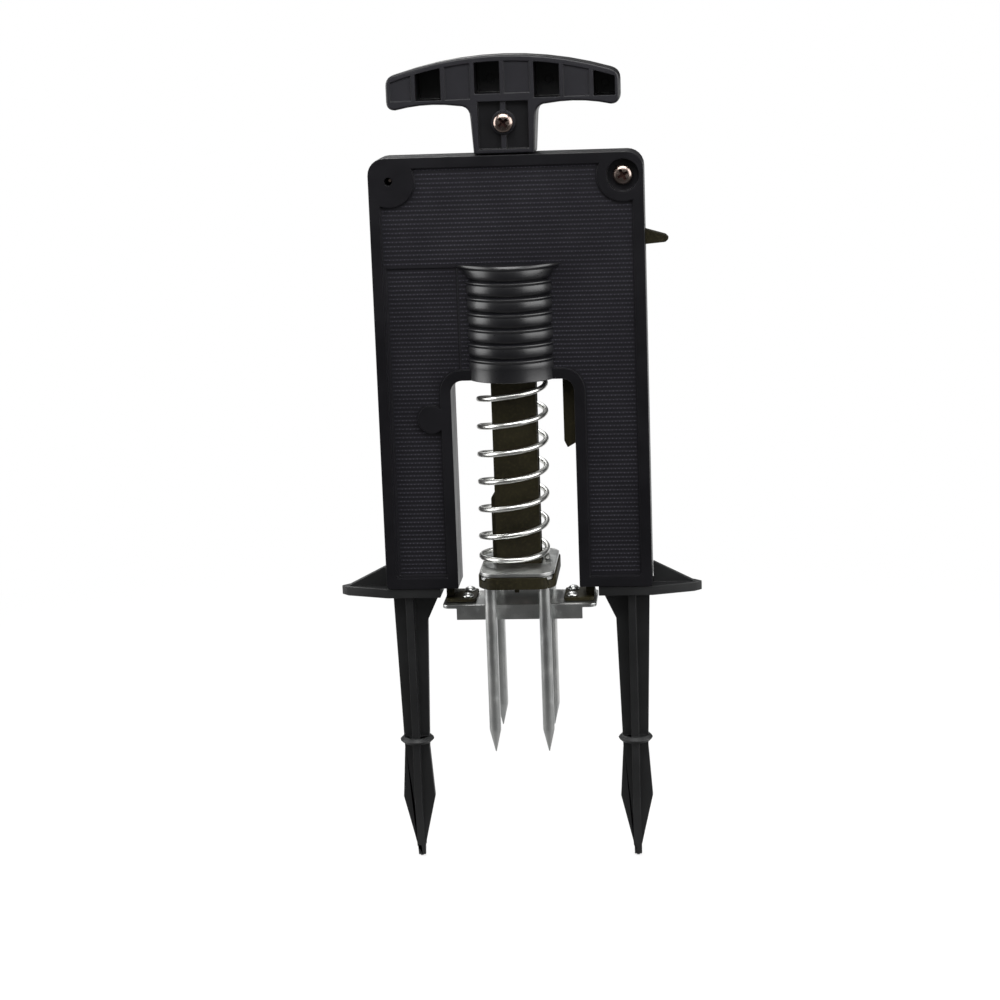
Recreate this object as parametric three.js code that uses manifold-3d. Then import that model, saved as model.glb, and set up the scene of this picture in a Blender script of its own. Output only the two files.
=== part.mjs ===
import * as THREE from "three";
import { mergeVertices } from "three/addons/utils/BufferGeometryUtils.js";
import Module from "manifold-3d";

// A tunnel trap for moles, shown fired: a T-handle on a spring-driven plunger that carries four tines,
// a two-shell housing on two legs, a stake in each leg, and a trigger pan that works a trip lever.
// Millimetres, +Z up. The front faces -Y. The origin is on the ground line, midway between the stakes.

const wasm = await Module();
wasm.setup();

// Fits that several pieces share
const seatGap = 0.3;
const runningGap = 0.35;
const overrun = 1;

// The moulded housing: a body with two legs, split into two shells on the plane y = 0
const housing = {
  width: 114,
  bodyHeight: 93.6,
  legHeight: 90.1,
  depth: 20,
  wall: 2,
  rimWidth: 4.5,
  panelSink: 1.5,
  topCornerRadius: 7,
  footCornerRadius: 1.5,
  windowWidth: 52,
  windowCornerRadius: 5,
  cornerPadRadius: 10.8,
};

// The lower left field of the front panel, which is sunk a little further
const lowerField = { sink: 0.8, edgeInset: 1.2, barrelGap: 2.1, dropBelowTop: 46 };

// The spring barrel that bulges from both shells
const barrel = { outerRadius: 19.5, wall: 2.5, height: 48.6, webThickness: 3, grooveDepth: 1.2 };
const bandCount = 7;
const lowestBandShare = 1.5;
const bandPointShares = [0, 0.12, 0.35, 0.65, 0.88];

// Pan-head screws, and the posts that take them
const screw = {
  shankRadius: 2,
  headRadius: 4.1,
  headHeight: 2.4,
  crossReach: 2.3,
  crossWidth: 0.9,
  crossDepth: 1.3,
};
const headCrownShare = 0.45;
const tipRadiusShare = 0.45;
const shellScrew = {
  length: 10.2,
  sideInset: 8.5,
  topInset: 9.6,
  frontBoreRadius: 6.7,
  rearBoreRadius: 5,
  boreDepth: 4,
};
const post = {
  radius: 4.4,
  floor: 2.4,
  lowerHeight: 73.7,
  leftFromWindow: 8.5,
  ringRadius: 5.9,
};
const peepHoleRadius = 1.65;
const stakeScrew = { length: 13.5, height: 17.7 };

// The plunger bar, a cored rectangular bar with a guide rib low on its left side
const plunger = {
  width: 19,
  depth: 9.6,
  travel: 68,
  ribReach: 1.8,
  ribDepth: 5.2,
  ribRise: 28.2,
  ribChamfer: 3,
  coringDepth: 3,
  coringWidth: 5.6,
  coringWeb: 2.4,
  tenonSideInset: 1.5,
  tenonFaceInset: 1.2,
  tenonLength: 18.6,
};
const leftCoringCount = 6;
const rightCoringCount = 3;

// The T-handle
const handle = {
  halfSpan: 48,
  depth: 18,
  topRadius: 150,
  crownHeight: 40.2,
  undersideHeight: 19.9,
  archRise: 2,
  endDrop: 1,
  endCornerRadius: 3.6,
  footMargin: 3,
  neckFlare: 1,
  neckFillet: 5,
  bevel: 1,
  cellWall: 1.8,
  cellRunout: 0.8,
  topWall: 2.6,
  bottomWall: 3.6,
  stemWall: 3.2,
  backWall: 2,
  closedCellSink: 0.8,
  liftGap: 0.4,
};
const cellCount = 8;
const stemRecess = {
  rim: 2.1,
  low: 2,
  high: 21.4,
  depth: 3,
  ribHalfWidth: 1.1,
  ribSink: 0.9,
  bossRadius: 4.9,
  bossRise: 2.2,
};
const handleScrew = { length: 14.6, height: 12.7 };

// The bush that guides the plunger at the top of the housing
const bush = { wall: 1.6, flangeReach: 1.8, flangeHeight: 3, bodyHeight: 8.7, shelf: 2 };

// The tine carrier at the foot of the plunger, and the plate that the spring pushes on
const carrier = {
  width: 33,
  length: 48,
  cornerRadius: 8,
  bottom: 7,
  thickness: 5,
  hubSideMargin: 3.5,
  hubEndMargin: 4.2,
  hubDrop: 2,
  socketFloor: 2.2,
  ribWidth: 2,
  ribInset: 3,
};
const footPlate = { thickness: 1.5, inset: 0.6 };
const tine = {
  radius: 2.5,
  headRadius: 3.8,
  headHeight: 1.3,
  sideInset: 5,
  endInset: 5.2,
  depth: 66,
  pointLength: 10,
  pointRadius: 0.35,
};
const carrierScrew = { length: 11 };

// The main compression spring and its top seat
const spring = {
  boreGap: 1.65,
  wireRadius: 1.15,
  endPitch: 2.9,
};
const turnCount = 11.5;
const endTurnCount = 0.75;
const rampTurnCount = 0.25;
const bottomAngle = 0;
const wireSides = 5;
const stepsPerTurn = 8;
const springSeat = { thickness: 1.5, boreGap: 0.5, plungerGap: 0.96 };

// The trip lever that swings on a pin in the housing: its heights are measured from the pin
const lever = {
  thickness: 5,
  armWidth: 5.6,
  barrelGap: 1.3,
  pivotInset: 5.7,
  pivotAboveWindow: 6.8,
  hubRadius: 4.4,
  topRise: 71,
  noseRise: 64,
  noseHeight: 4,
  noseRamp: 1.6,
  tabRootRise: 47.8,
  tabRootHeight: 6.3,
  tabTipRise: 48.5,
  tabTipHeight: 3.1,
  tabTipRadius: 1.2,
  tabLength: 9.6,
  toeInset: 1.4,
  toeDrop: 37.6,
  toeChamfer: 3,
  camLead: 0.75,
  heelPastRiser: 0.65,
  heelDrop: 21,
  heelBlendDrop: 15,
};
const toeAngle = 30;
const camAngle = 64;
const swingAngle = 3.5;
const pin = { radius: 1.5, wallBite: 1.2, bossRadius: 3.3 };
const catchNotch = { height: 7, depth: 2 };
const tabSlot = { footroom: 1.1, headroom: 2 };
const leverSlot = { toeRoom: 4.4, sideGap: 1.2, faceGap: 0.7 };
const leverSpring = {
  wireRadius: 0.4,
  coilRadius: 2.6,
  pitch: 1.3,
  longLeg: 11,
  shortLeg: 6,
  ledgeGap: 0.8,
  ledgeWidth: 2.4,
  ledgeHeight: 3,
};
const leverSpringTurnCount = 2;

// The trigger: a pressed pan, hung under the legs by a guide strut and a riser
const pan = {
  halfWidth: 12.5,
  endGap: 1,
  lift: 3.4,
  headroom: 1.3,
  thickness: 1.6,
  lipDrop: 5,
  cornerRadius: 3,
};
const strut = {
  thickness: 3.6,
  halfWidth: 4,
  rise: 55.7,
  footLength: 9.4,
  footHalfWidth: 9,
  footThickness: 1.6,
  collarReach: 2,
  collarHeight: 2,
  tipChamfer: 1,
};
const rivet = { shankRadius: 1.3, headRadius: 2.5, headHeight: 1.5, inset: 5.85, spread: 5.4 };
const strutGuide = { low: 26, height: 4, thickness: 1.6 };

// The stakes that hold the trap in the soil, each with a plug in its leg and a foot at the ground line
const stake = {
  length: 120,
  depth: 14,
  web: 3.2,
  outerInset: 1.5,
  innerInset: 6.5,
  ringReach: 0.1,
  ringThickness: 3,
  tipWidth: 1.2,
  footThickness: 4,
  footInset: 8,
  footMargin: 1,
  tabLength: 21,
  tabTipHalfDepth: 3,
  gussetHeight: 9,
  innerGussetInset: 1.3,
  innerGussetDrop: 18,
  plugStrutGap: 2.85,
  plugSideGap: 2,
  plugHeight: 31,
  plugCoring: 3,
  plugWeb: 2.4,
};
const ringDepthShare = 0.55;
const waistDepthShare = 0.58;
const waistWidthShare = 0.73;
const shoulderDepthShare = 0.77;
const shoulderWidthShare = 0.93;

// Places that follow from the sizes above
const halfDepth = housing.depth / 2;
const panelFace = halfDepth - housing.panelSink;
const innerFace = panelFace - housing.wall;
const halfWidth = housing.width / 2;
const halfWindow = housing.windowWidth / 2;
const legBottom = stake.footThickness + seatGap;
const windowTop = legBottom + housing.legHeight;
const housingTop = windowTop + housing.bodyHeight;
const barrelTop = windowTop + barrel.height;
const boreRadius = barrel.outerRadius - barrel.wall;
const webBottom = barrelTop - barrel.webThickness;
const carrierTop = carrier.bottom + carrier.thickness;
const plateBottom = carrierTop + seatGap;
const plateTop = plateBottom + footPlate.thickness;
const hubBottom = carrier.bottom - carrier.hubDrop;
const plungerBottom = hubBottom + carrier.socketFloor + seatGap;
const handleBottom = housingTop + handle.liftGap;
const plungerShoulder = handleBottom - seatGap;
const tenonTop = plungerShoulder + plunger.tenonLength;
const tenonHalfX = plunger.width / 2 - plunger.tenonSideInset;
const tenonHalfY = plunger.depth / 2 - plunger.tenonFaceInset;
const footHalfWidth = plunger.width / 2 + handle.footMargin;
const neckHalfWidth = footHalfWidth + handle.neckFlare;
const handleEndLow = handleBottom + handle.undersideHeight - handle.endDrop;
const seatBottom = webBottom - seatGap - springSeat.thickness;
const screwX = halfWidth - shellScrew.sideInset;
const screwZ = housingTop - shellScrew.topInset;
const lowerPostZ = legBottom + post.lowerHeight;
const boreFloor = halfDepth - shellScrew.boreDepth;
const shankHole = screw.shankRadius + seatGap;
const legWallInner = halfWindow + housing.wall;
const strutInner = legWallInner + runningGap;
const strutOuter = strutInner + strut.thickness;
const rivetX = strutInner - rivet.inset;
const panTop = hubBottom - seatGap - screw.headHeight - pan.lift - pan.headroom;
const stakeFootInner = halfWindow + stake.footInset;
const stakeLeft = stakeFootInner + stake.innerInset;
const stakeRight = halfWidth - stake.outerInset;
const stakeX = (stakeLeft + stakeRight) / 2;
const ringRadius = (stakeRight - stakeLeft) / 2 + stake.ringReach;
const plugInner = strutOuter + strut.collarReach + stake.plugStrutGap;
const plugOuter = halfWidth - housing.wall - stake.plugSideGap;
const stakeScrewX = (plugInner + plugOuter) / 2;
const stakeScrewZ = legBottom + stakeScrew.height;
const leverLeft = barrel.outerRadius + lever.barrelGap;
const leverRight = leverLeft + lever.armWidth;
const pivotX = leverLeft + lever.pivotInset;
const pivotZ = windowTop + lever.pivotAboveWindow;
const toeX = leverLeft + lever.toeInset;
const toeZ = pivotZ - lever.toeDrop;
const camX = strutInner - lever.camLead;
const heelX = strutOuter + lever.heelPastRiser;
const noseLow = pivotZ + lever.noseRise;
const leverFace = lever.thickness / 2;
const pinFaceGap = leverFace + runningGap;
const bushFlangeLow = housingTop - bush.bodyHeight - bush.flangeHeight;

// Finishes
const shellPlastic = { color: 0x26262b, roughness: 0.5, metalness: 0 };
const mechanismPlastic = { color: 0x2b2719, roughness: 0.55, metalness: 0 };
const stakePlastic = { color: 0x1b1c1e, roughness: 0.6, metalness: 0 };
const springSteel = { color: 0xd3d5cf, roughness: 0.28, metalness: 1 };
const zincSteel = { color: 0xb8bbb6, roughness: 0.38, metalness: 1 };
const screwSteel = { color: 0x6d625a, roughness: 0.35, metalness: 1 };
const bushPlastic = { color: 0x3a3a3e, roughness: 0.45, metalness: 0 };

// A closed geometry as a solid
function solidOf(geometry) {
  const bare = geometry.clone();
  for (const name of Object.keys(bare.attributes)) {
    if (name !== "position") bare.deleteAttribute(name);
  }
  const merged = mergeVertices(bare);
  const corners = merged.index.array;
  const kept = [];
  for (let i = 0; i < corners.length; i += 3) {
    const [a, b, c] = [corners[i], corners[i + 1], corners[i + 2]];
    if (a !== b && b !== c && c !== a) kept.push(a, b, c);
  }
  const vertProperties = Float32Array.from(merged.attributes.position.array);
  const triVerts = Uint32Array.from(kept);
  return new wasm.Manifold(new wasm.Mesh({ numProp: 3, vertProperties, triVerts }));
}

// A solid as a geometry
function geometryOf(solid) {
  const mesh = solid.getMesh();
  const indexed = new THREE.BufferGeometry();
  indexed.setAttribute("position", new THREE.BufferAttribute(mesh.vertProperties, 3));
  indexed.setIndex(new THREE.BufferAttribute(mesh.triVerts, 1));
  const faceted = indexed.toNonIndexed();
  faceted.computeVertexNormals();
  return faceted;
}

function joined(solids) {
  return solids.reduce((whole, piece) => whole.add(piece));
}

function cutAll(solid, cutters) {
  return cutters.reduce((left, cutter) => left.subtract(cutter), solid);
}

// A block between two corners, whichever way round each pair is given
function block([x0, x1], [y0, y1], [z0, z1]) {
  const size = [Math.abs(x1 - x0), Math.abs(y1 - y0), Math.abs(z1 - z0)];
  const geometry = new THREE.BoxGeometry(...size);
  geometry.translate((x0 + x1) / 2, (y0 + y1) / 2, (z0 + z1) / 2);
  return solidOf(geometry);
}

// An outline drawn in X and Z, extruded from one Y to another
function slabY(outline, y0, y1, roundness = 3) {
  const geometry = new THREE.ExtrudeGeometry(outline, {
    depth: Math.abs(y1 - y0),
    bevelEnabled: false,
    curveSegments: roundness,
  });
  geometry.rotateX(Math.PI / 2);
  geometry.translate(0, Math.max(y0, y1), 0);
  return solidOf(geometry);
}

// An outline drawn in X and Y, extruded from one Z to another
function slabZ(outline, z0, z1, roundness = 3) {
  const geometry = new THREE.ExtrudeGeometry(outline, {
    depth: Math.abs(z1 - z0),
    bevelEnabled: false,
    curveSegments: roundness,
  });
  geometry.translate(0, 0, Math.min(z0, z1));
  return solidOf(geometry);
}

function rodY(x, z, radius, y0, y1, sides = 24) {
  const geometry = new THREE.CylinderGeometry(radius, radius, Math.abs(y1 - y0), sides);
  geometry.translate(x, (y0 + y1) / 2, z);
  return solidOf(geometry);
}

function rodZ(x, y, radius, z0, z1, sides = 24) {
  const geometry = new THREE.CylinderGeometry(radius, radius, Math.abs(z1 - z0), sides);
  geometry.rotateX(Math.PI / 2);
  geometry.translate(x, y, (z0 + z1) / 2);
  return solidOf(geometry);
}

// A profile of [radius, height] pairs, listed upwards, turned round the Z axis
function turned(profile, sides = 20) {
  const points = profile.map(([radius, height]) => new THREE.Vector2(radius, height));
  const geometry = new THREE.LatheGeometry(points, sides);
  geometry.rotateX(Math.PI / 2);
  return solidOf(geometry);
}

// A rectangle with one radius at its low corners and another at its high ones
function roundedOutline([left, right], [low, high], lowRadius, highRadius) {
  const quarter = Math.PI / 2;
  const outline = new THREE.Shape();
  outline.moveTo(left + lowRadius, low);
  outline.absarc(right - lowRadius, low + lowRadius, lowRadius, -quarter, 0);
  outline.absarc(right - highRadius, high - highRadius, highRadius, 0, quarter);
  outline.absarc(left + highRadius, high - highRadius, highRadius, quarter, 2 * quarter);
  outline.absarc(left + lowRadius, low + lowRadius, lowRadius, 2 * quarter, 3 * quarter);
  return outline;
}

function polygon(points) {
  return new THREE.Shape(points.map(([x, y]) => new THREE.Vector2(x, y)));
}

function mirroredX(solid) {
  return solid.mirror([1, 0, 0]);
}

// A tube of a few sides along a list of points, with flat ends
function wireAlong(points, radius) {
  const positions = [];
  const triangles = [];
  let across = null;
  points.forEach((point, i) => {
    const before = points[Math.max(i - 1, 0)];
    const after = points[Math.min(i + 1, points.length - 1)];
    const along = after.clone().sub(before).normalize();
    if (!across) {
      const helper = Math.abs(along.z) < 1 / 2 ? new THREE.Vector3(0, 0, 1) : new THREE.Vector3(0, 1, 0);
      across = helper.cross(along);
    }
    across.addScaledVector(along, -across.dot(along)).normalize();
    const up = along.clone().cross(across);
    for (let k = 0; k < wireSides; k++) {
      const turn = (2 * Math.PI * k) / wireSides;
      const corner = point.clone();
      corner.addScaledVector(across, radius * Math.cos(turn));
      corner.addScaledVector(up, radius * Math.sin(turn));
      positions.push(corner.x, corner.y, corner.z);
    }
  });
  for (let i = 0; i + 1 < points.length; i++) {
    for (let k = 0; k < wireSides; k++) {
      const next = (k + 1) % wireSides;
      const [a, b] = [i * wireSides + k, i * wireSides + next];
      const [c, d] = [a + wireSides, b + wireSides];
      triangles.push(a, b, d, a, d, c);
    }
  }
  const last = (points.length - 1) * wireSides;
  for (let k = 1; k + 1 < wireSides; k++) {
    triangles.push(0, k + 1, k);
    triangles.push(last, last + k, last + k + 1);
  }
  const geometry = new THREE.BufferGeometry();
  geometry.setAttribute("position", new THREE.Float32BufferAttribute(positions, 3));
  geometry.setIndex(triangles);
  return solidOf(geometry);
}

// The least clear distance between stretches of a wire that lie more than half a turn apart
function leastGap(points, radius) {
  let least = Infinity;
  points.forEach((point, i) => {
    for (let k = i + stepsPerTurn / 2; k < points.length; k++) {
      least = Math.min(least, point.distanceTo(points[k]) - 2 * radius);
    }
  });
  return least;
}

// The outline of the body and legs, drawn in by an inset
function bodyOutline(inset) {
  const cornerRadius = Math.max(housing.topCornerRadius - inset, housing.footCornerRadius);
  return roundedOutline(
    [inset - halfWidth, halfWidth - inset],
    [legBottom + inset, housingTop - inset],
    housing.footCornerRadius,
    cornerRadius,
  );
}

// The outline of the window between the legs, let out by a margin and run out below
function windowOutline(margin) {
  const reach = halfWindow + margin;
  const low = legBottom - overrun;
  return roundedOutline([-reach, reach], [low, windowTop + margin], 0, housing.windowCornerRadius + margin);
}

// The barrel's bands and grooves, as one turned body
function barrelBody() {
  const bandHeight = barrel.height / (bandCount - 1 + lowestBandShare);
  const profile = [[0, windowTop]];
  let low = windowTop;
  for (let band = 0; band < bandCount; band++) {
    const height = band ? bandHeight : bandHeight * lowestBandShare;
    for (const share of bandPointShares) {
      const edge = Math.abs(2 * share - 1) ** 4;
      profile.push([barrel.outerRadius - barrel.grooveDepth * edge, low + height * share]);
    }
    low += height;
  }
  profile.push([barrel.outerRadius - barrel.grooveDepth, barrelTop], [0, barrelTop]);
  return turned(profile, 28);
}

// Where each housing screw stands and which side it is driven from: -1 is the front
const leftPostX = halfWindow + post.leftFromWindow;
const rightPostX = (heelX + leverSlot.sideGap + halfWidth - housing.wall) / 2;
const [frontBore, rearBore] = [shellScrew.frontBoreRadius, shellScrew.rearBoreRadius];
const shellScrewSites = [
  { name: "shell_screw_top_right", x: screwX, z: screwZ, side: -1, boreRadius: frontBore },
  { name: "shell_screw_top_left", x: -screwX, z: screwZ, side: 1, boreRadius: rearBore },
  { name: "shell_screw_lower_left", x: -leftPostX, z: lowerPostZ, side: 1, boreRadius: rearBore },
  { name: "shell_screw_lower_right", x: rightPostX, z: lowerPostZ, side: 1, boreRadius: rearBore },
];

// One housing shell: side -1 is the front one, 1 the rear one
function housingShell(side) {
  const outer = side * halfDepth;
  const past = side * (halfDepth + overrun);
  const inner = side * innerFace;
  const seam = (side * seatGap) / 2;
  const across = -side * overrun;

  const frame = slabY(bodyOutline(0), outer, seam).subtract(slabY(windowOutline(0), past, across));
  const cavity = slabY(bodyOutline(housing.wall), inner, across);
  const windowWall = slabY(windowOutline(housing.wall), past, across);
  const tray = frame.subtract(cavity.subtract(windowWall));

  const raised = [slabY(windowOutline(housing.rimWidth), past, across)];
  for (const cornerX of [-screwX, screwX]) {
    raised.push(rodY(cornerX, screwZ, housing.cornerPadRadius, past, inner, 32));
  }
  if (side < 0) raised.push(rodY(-leftPostX, lowerPostZ, post.ringRadius, past, inner, 24));
  const field = cutAll(slabY(bodyOutline(housing.rimWidth), past, side * panelFace), raised);
  const cuts = [field];
  if (side < 0) {
    const left = housing.rimWidth + lowerField.edgeInset - halfWidth;
    const right = -barrel.outerRadius - lowerField.barrelGap;
    const bottom = legBottom + housing.rimWidth + lowerField.edgeInset;
    const top = housingTop - lowerField.dropBelowTop;
    const sunk = block([left, right], [past, side * (panelFace - lowerField.sink)], [bottom, top]);
    cuts.push(cutAll(sunk, raised));
  }

  const halfSpace = block(
    [-halfWidth, halfWidth],
    [seam, side * (barrel.outerRadius + overrun)],
    [windowTop - overrun, barrelTop + overrun],
  );
  const added = [barrelBody().intersect(halfSpace), ...bushCheeks(side), ...strutGuides(side)];
  for (const site of shellScrewSites) {
    const driven = site.side === side;
    added.push(rodY(site.x, site.z, post.radius, inner, seam, 20));
    if (driven) {
      const bossRadius = site.boreRadius + housing.wall;
      added.push(rodY(site.x, site.z, bossRadius, inner, side * (boreFloor - post.floor), 24));
      cuts.push(rodY(site.x, site.z, site.boreRadius, past, side * boreFloor, 28));
      cuts.push(rodY(site.x, site.z, shankHole, side * (boreFloor + overrun), across, 16));
    } else {
      const tip = boreFloor - shellScrew.length + seatGap;
      cuts.push(rodY(site.x, site.z, shankHole, across, side * (Math.abs(tip) + seatGap), 16));
    }
  }
  if (side < 0) cuts.push(rodY(-screwX, screwZ, peepHoleRadius, past, across, 16));

  added.push(...pivotSupports(side));
  cuts.push(...pivotCuts(side));
  cuts.push(...passageCuts());
  if (side > 0) cuts.push(...stakeScrewHoles());

  const trimmed = added.map((piece) => piece.intersect(slabY(bodyOutline(0), past * 2, seam)));
  return cutAll(joined([tray, ...trimmed]), cuts);
}

// Cheeks and a shelf that hold the plunger bush under the top wall
function bushCheeks(side) {
  const seam = (side * seatGap) / 2;
  const neck = plunger.width / 2 + runningGap + bush.wall + seatGap;
  const flange = neck + bush.flangeReach;
  const flangeTop = bushFlangeLow + bush.flangeHeight + seatGap;
  const faceGap = plunger.depth / 2 + runningGap;
  const pieces = [
    block(
      [-flange, flange],
      [side * innerFace, side * faceGap],
      [bushFlangeLow - seatGap - bush.shelf, bushFlangeLow - seatGap],
    ),
  ];
  const cheekRange = [flangeTop, housingTop - housing.wall];
  for (const hand of [-1, 1]) {
    const cheek = [hand * neck, hand * (flange + bush.shelf)];
    pieces.push(block(cheek, [side * innerFace, seam], cheekRange));
  }
  return pieces;
}

// Pads inside each leg that keep the strut and the riser upright
function strutGuides(side) {
  const seam = (side * seatGap) / 2;
  const low = legBottom + strutGuide.low;
  const high = low + strutGuide.height;
  const outside = strutOuter + runningGap;
  const face = strut.halfWidth + runningGap;
  const pieces = [];
  for (const hand of [-1, 1]) {
    const farSide = hand * (outside + strutGuide.thickness);
    pieces.push(block([hand * legWallInner, farSide], [side * innerFace, side * face], [low, high]));
    pieces.push(block([hand * outside, farSide], [side * innerFace, seam], [low, high]));
  }
  return pieces;
}

// The boss that the lever turns against, and the ledge that its spring pushes on
function pivotSupports(side) {
  if (side < 0) {
    return [rodY(pivotX, pivotZ, pin.bossRadius, -innerFace, -pinFaceGap, 20)];
  }
  const top = pivotZ + leverSpring.coilRadius - leverSpring.wireRadius - leverSpring.ledgeGap;
  const right = pivotX + leverSpring.shortLeg + leverSpring.ledgeWidth / 2;
  const ledge = [right - leverSpring.ledgeWidth, right];
  return [block(ledge, [pinFaceGap, innerFace], [top - leverSpring.ledgeHeight, top])];
}

// The blind pin hole in a shell's face
function pivotCuts(side) {
  const deep = side * (innerFace + pin.wallBite);
  return [rodY(pivotX, pivotZ, pin.radius + seatGap, deep, 0, 16)];
}

// Everything that passes through both shells: bore, plunger, bush, lever, tab, plugs and struts
function passageCuts() {
  const slotHalf = leverFace + leverSlot.faceGap;
  const openDepth = [-slotHalf, slotHalf];
  const tabDrop = (halfWidth - pivotX) * Math.sin(THREE.MathUtils.degToRad(swingAngle));
  const tabLow = pivotZ + lever.tabRootRise;
  const tabRange = [tabLow - tabDrop - tabSlot.footroom, tabLow + lever.tabRootHeight + tabSlot.headroom];
  const plungerX = plunger.width / 2 + runningGap;
  const plungerY = plunger.depth / 2 + runningGap;
  const neckX = plungerX + bush.wall + seatGap;
  const topRange = [housingTop - housing.wall - overrun, housingTop + overrun];
  const cuts = [
    rodZ(0, 0, boreRadius, windowTop - overrun, webBottom, 36),
    block([-plungerX, plungerX], [-plungerY, plungerY], [webBottom - overrun, barrelTop + overrun]),
    block([-neckX, neckX], [-innerFace, innerFace], topRange),
    block(
      [leverLeft - leverSlot.sideGap, heelX + leverSlot.sideGap],
      openDepth,
      [toeZ - leverSlot.toeRoom, windowTop + housing.wall + overrun],
    ),
    block([halfWidth - housing.wall - overrun, halfWidth + overrun], openDepth, tabRange),
  ];
  const floorRange = [legBottom - overrun, legBottom + housing.wall + overrun / 2];
  const strutY = strut.halfWidth + runningGap;
  for (const hand of [-1, 1]) {
    const slotOuter = strutOuter + runningGap;
    cuts.push(block([hand * legWallInner, hand * slotOuter], [-strutY, strutY], floorRange));
    const plugRange = [hand * (plugInner - seatGap), hand * (plugOuter + seatGap)];
    cuts.push(block(plugRange, [-innerFace, innerFace], floorRange));
  }
  return cuts;
}

// The holes for the stake screws, with room for their heads on the panel
function stakeScrewHoles() {
  const headRoom = screw.headRadius + seatGap;
  return [-1, 1].flatMap((hand) => [
    rodY(hand * stakeScrewX, stakeScrewZ, shankHole, innerFace - overrun, halfDepth + overrun, 16),
    rodY(hand * stakeScrewX, stakeScrewZ, headRoom, panelFace, halfDepth + overrun, 20),
  ]);
}

// A pan-head screw with a cross recess: its head stands on z = 0 and its shank points down
function panScrew(length) {
  const crown = screw.headHeight * headCrownShare;
  const tipRadius = screw.shankRadius * tipRadiusShare;
  const body = turned(
    [
      [0, -length],
      [tipRadius, -length],
      [screw.shankRadius, screw.shankRadius - length],
      [screw.shankRadius, 0],
      [screw.headRadius, 0],
      [screw.headRadius, screw.headHeight - crown],
      [screw.headRadius - crown / 2, screw.headHeight - crown / 3],
      [screw.headRadius / 2, screw.headHeight],
      [0, screw.headHeight],
    ],
    18,
  );
  const low = screw.headHeight - screw.crossDepth;
  const high = screw.headHeight + overrun;
  const [reach, half] = [screw.crossReach, screw.crossWidth / 2];
  return cutAll(body, [
    block([-reach, reach], [-half, half], [low, high]),
    block([-half, half], [-reach, reach], [low, high]),
  ]);
}

// The plunger bush, open for the bar and flanged under the shells' cheeks
function plungerBush() {
  const hole = [plunger.width / 2 + runningGap, plunger.depth / 2 + runningGap];
  const neck = hole[0] + bush.wall;
  const flange = neck + bush.flangeReach;
  const side = innerFace - seatGap;
  const flangeTop = bushFlangeLow + bush.flangeHeight;
  const body = block([-neck, neck], [-side, side], [bushFlangeLow, housingTop]);
  const rim = block([-flange, flange], [-side, side], [bushFlangeLow, flangeTop]);
  const bore = block(
    [-hole[0], hole[0]],
    [-hole[1], hole[1]],
    [bushFlangeLow - overrun, housingTop + overrun],
  );
  return body.add(rim).subtract(bore);
}

function springSeatWasher() {
  const top = seatBottom + springSeat.thickness;
  const disc = rodZ(0, 0, boreRadius - springSeat.boreGap, seatBottom, top, 36);
  const hole = Math.hypot(plunger.width / 2, plunger.depth / 2) + springSeat.plungerGap;
  return disc.subtract(rodZ(0, 0, hole, seatBottom - overrun, top + overrun, 28));
}

// The centre line of the main spring: close end turns, with the pitch ramping up between them
function mainSpringPath() {
  const low = plateTop + seatGap + spring.wireRadius;
  const high = seatBottom - seatGap - spring.wireRadius;
  const steps = Math.round(turnCount * stepsPerTurn);
  const openness = [];
  for (let i = 0; i < steps; i++) {
    const turn = (i + 1 / 2) / stepsPerTurn;
    const fromEnd = Math.min(turn, turnCount - turn);
    openness.push(Math.min(Math.max((fromEnd - endTurnCount) / rampTurnCount, 0), 1));
  }
  const closed = spring.endPitch / stepsPerTurn;
  const opening = openness.reduce((sum, share) => sum + share, 0);
  const extra = (high - low - closed * steps) / opening;
  const coilRadius = boreRadius - spring.boreGap - spring.wireRadius;
  const cornerRadius = (2 * coilRadius) / (1 + Math.cos(Math.PI / stepsPerTurn));
  const points = [];
  let height = low;
  for (let i = 0; i <= steps; i++) {
    const angle = THREE.MathUtils.degToRad(bottomAngle) + (2 * Math.PI * i) / stepsPerTurn;
    points.push(new THREE.Vector3(cornerRadius * Math.cos(angle), cornerRadius * Math.sin(angle), height));
    if (i < steps) height += closed + extra * openness[i];
  }
  return points;
}

function mainSpring() {
  const path = mainSpringPath();
  const gap = leastGap(path, spring.wireRadius);
  console.log("main_spring least gap to itself: " + gap.toFixed(2) + " mm");
  return wireAlong(path, spring.wireRadius);
}

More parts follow.
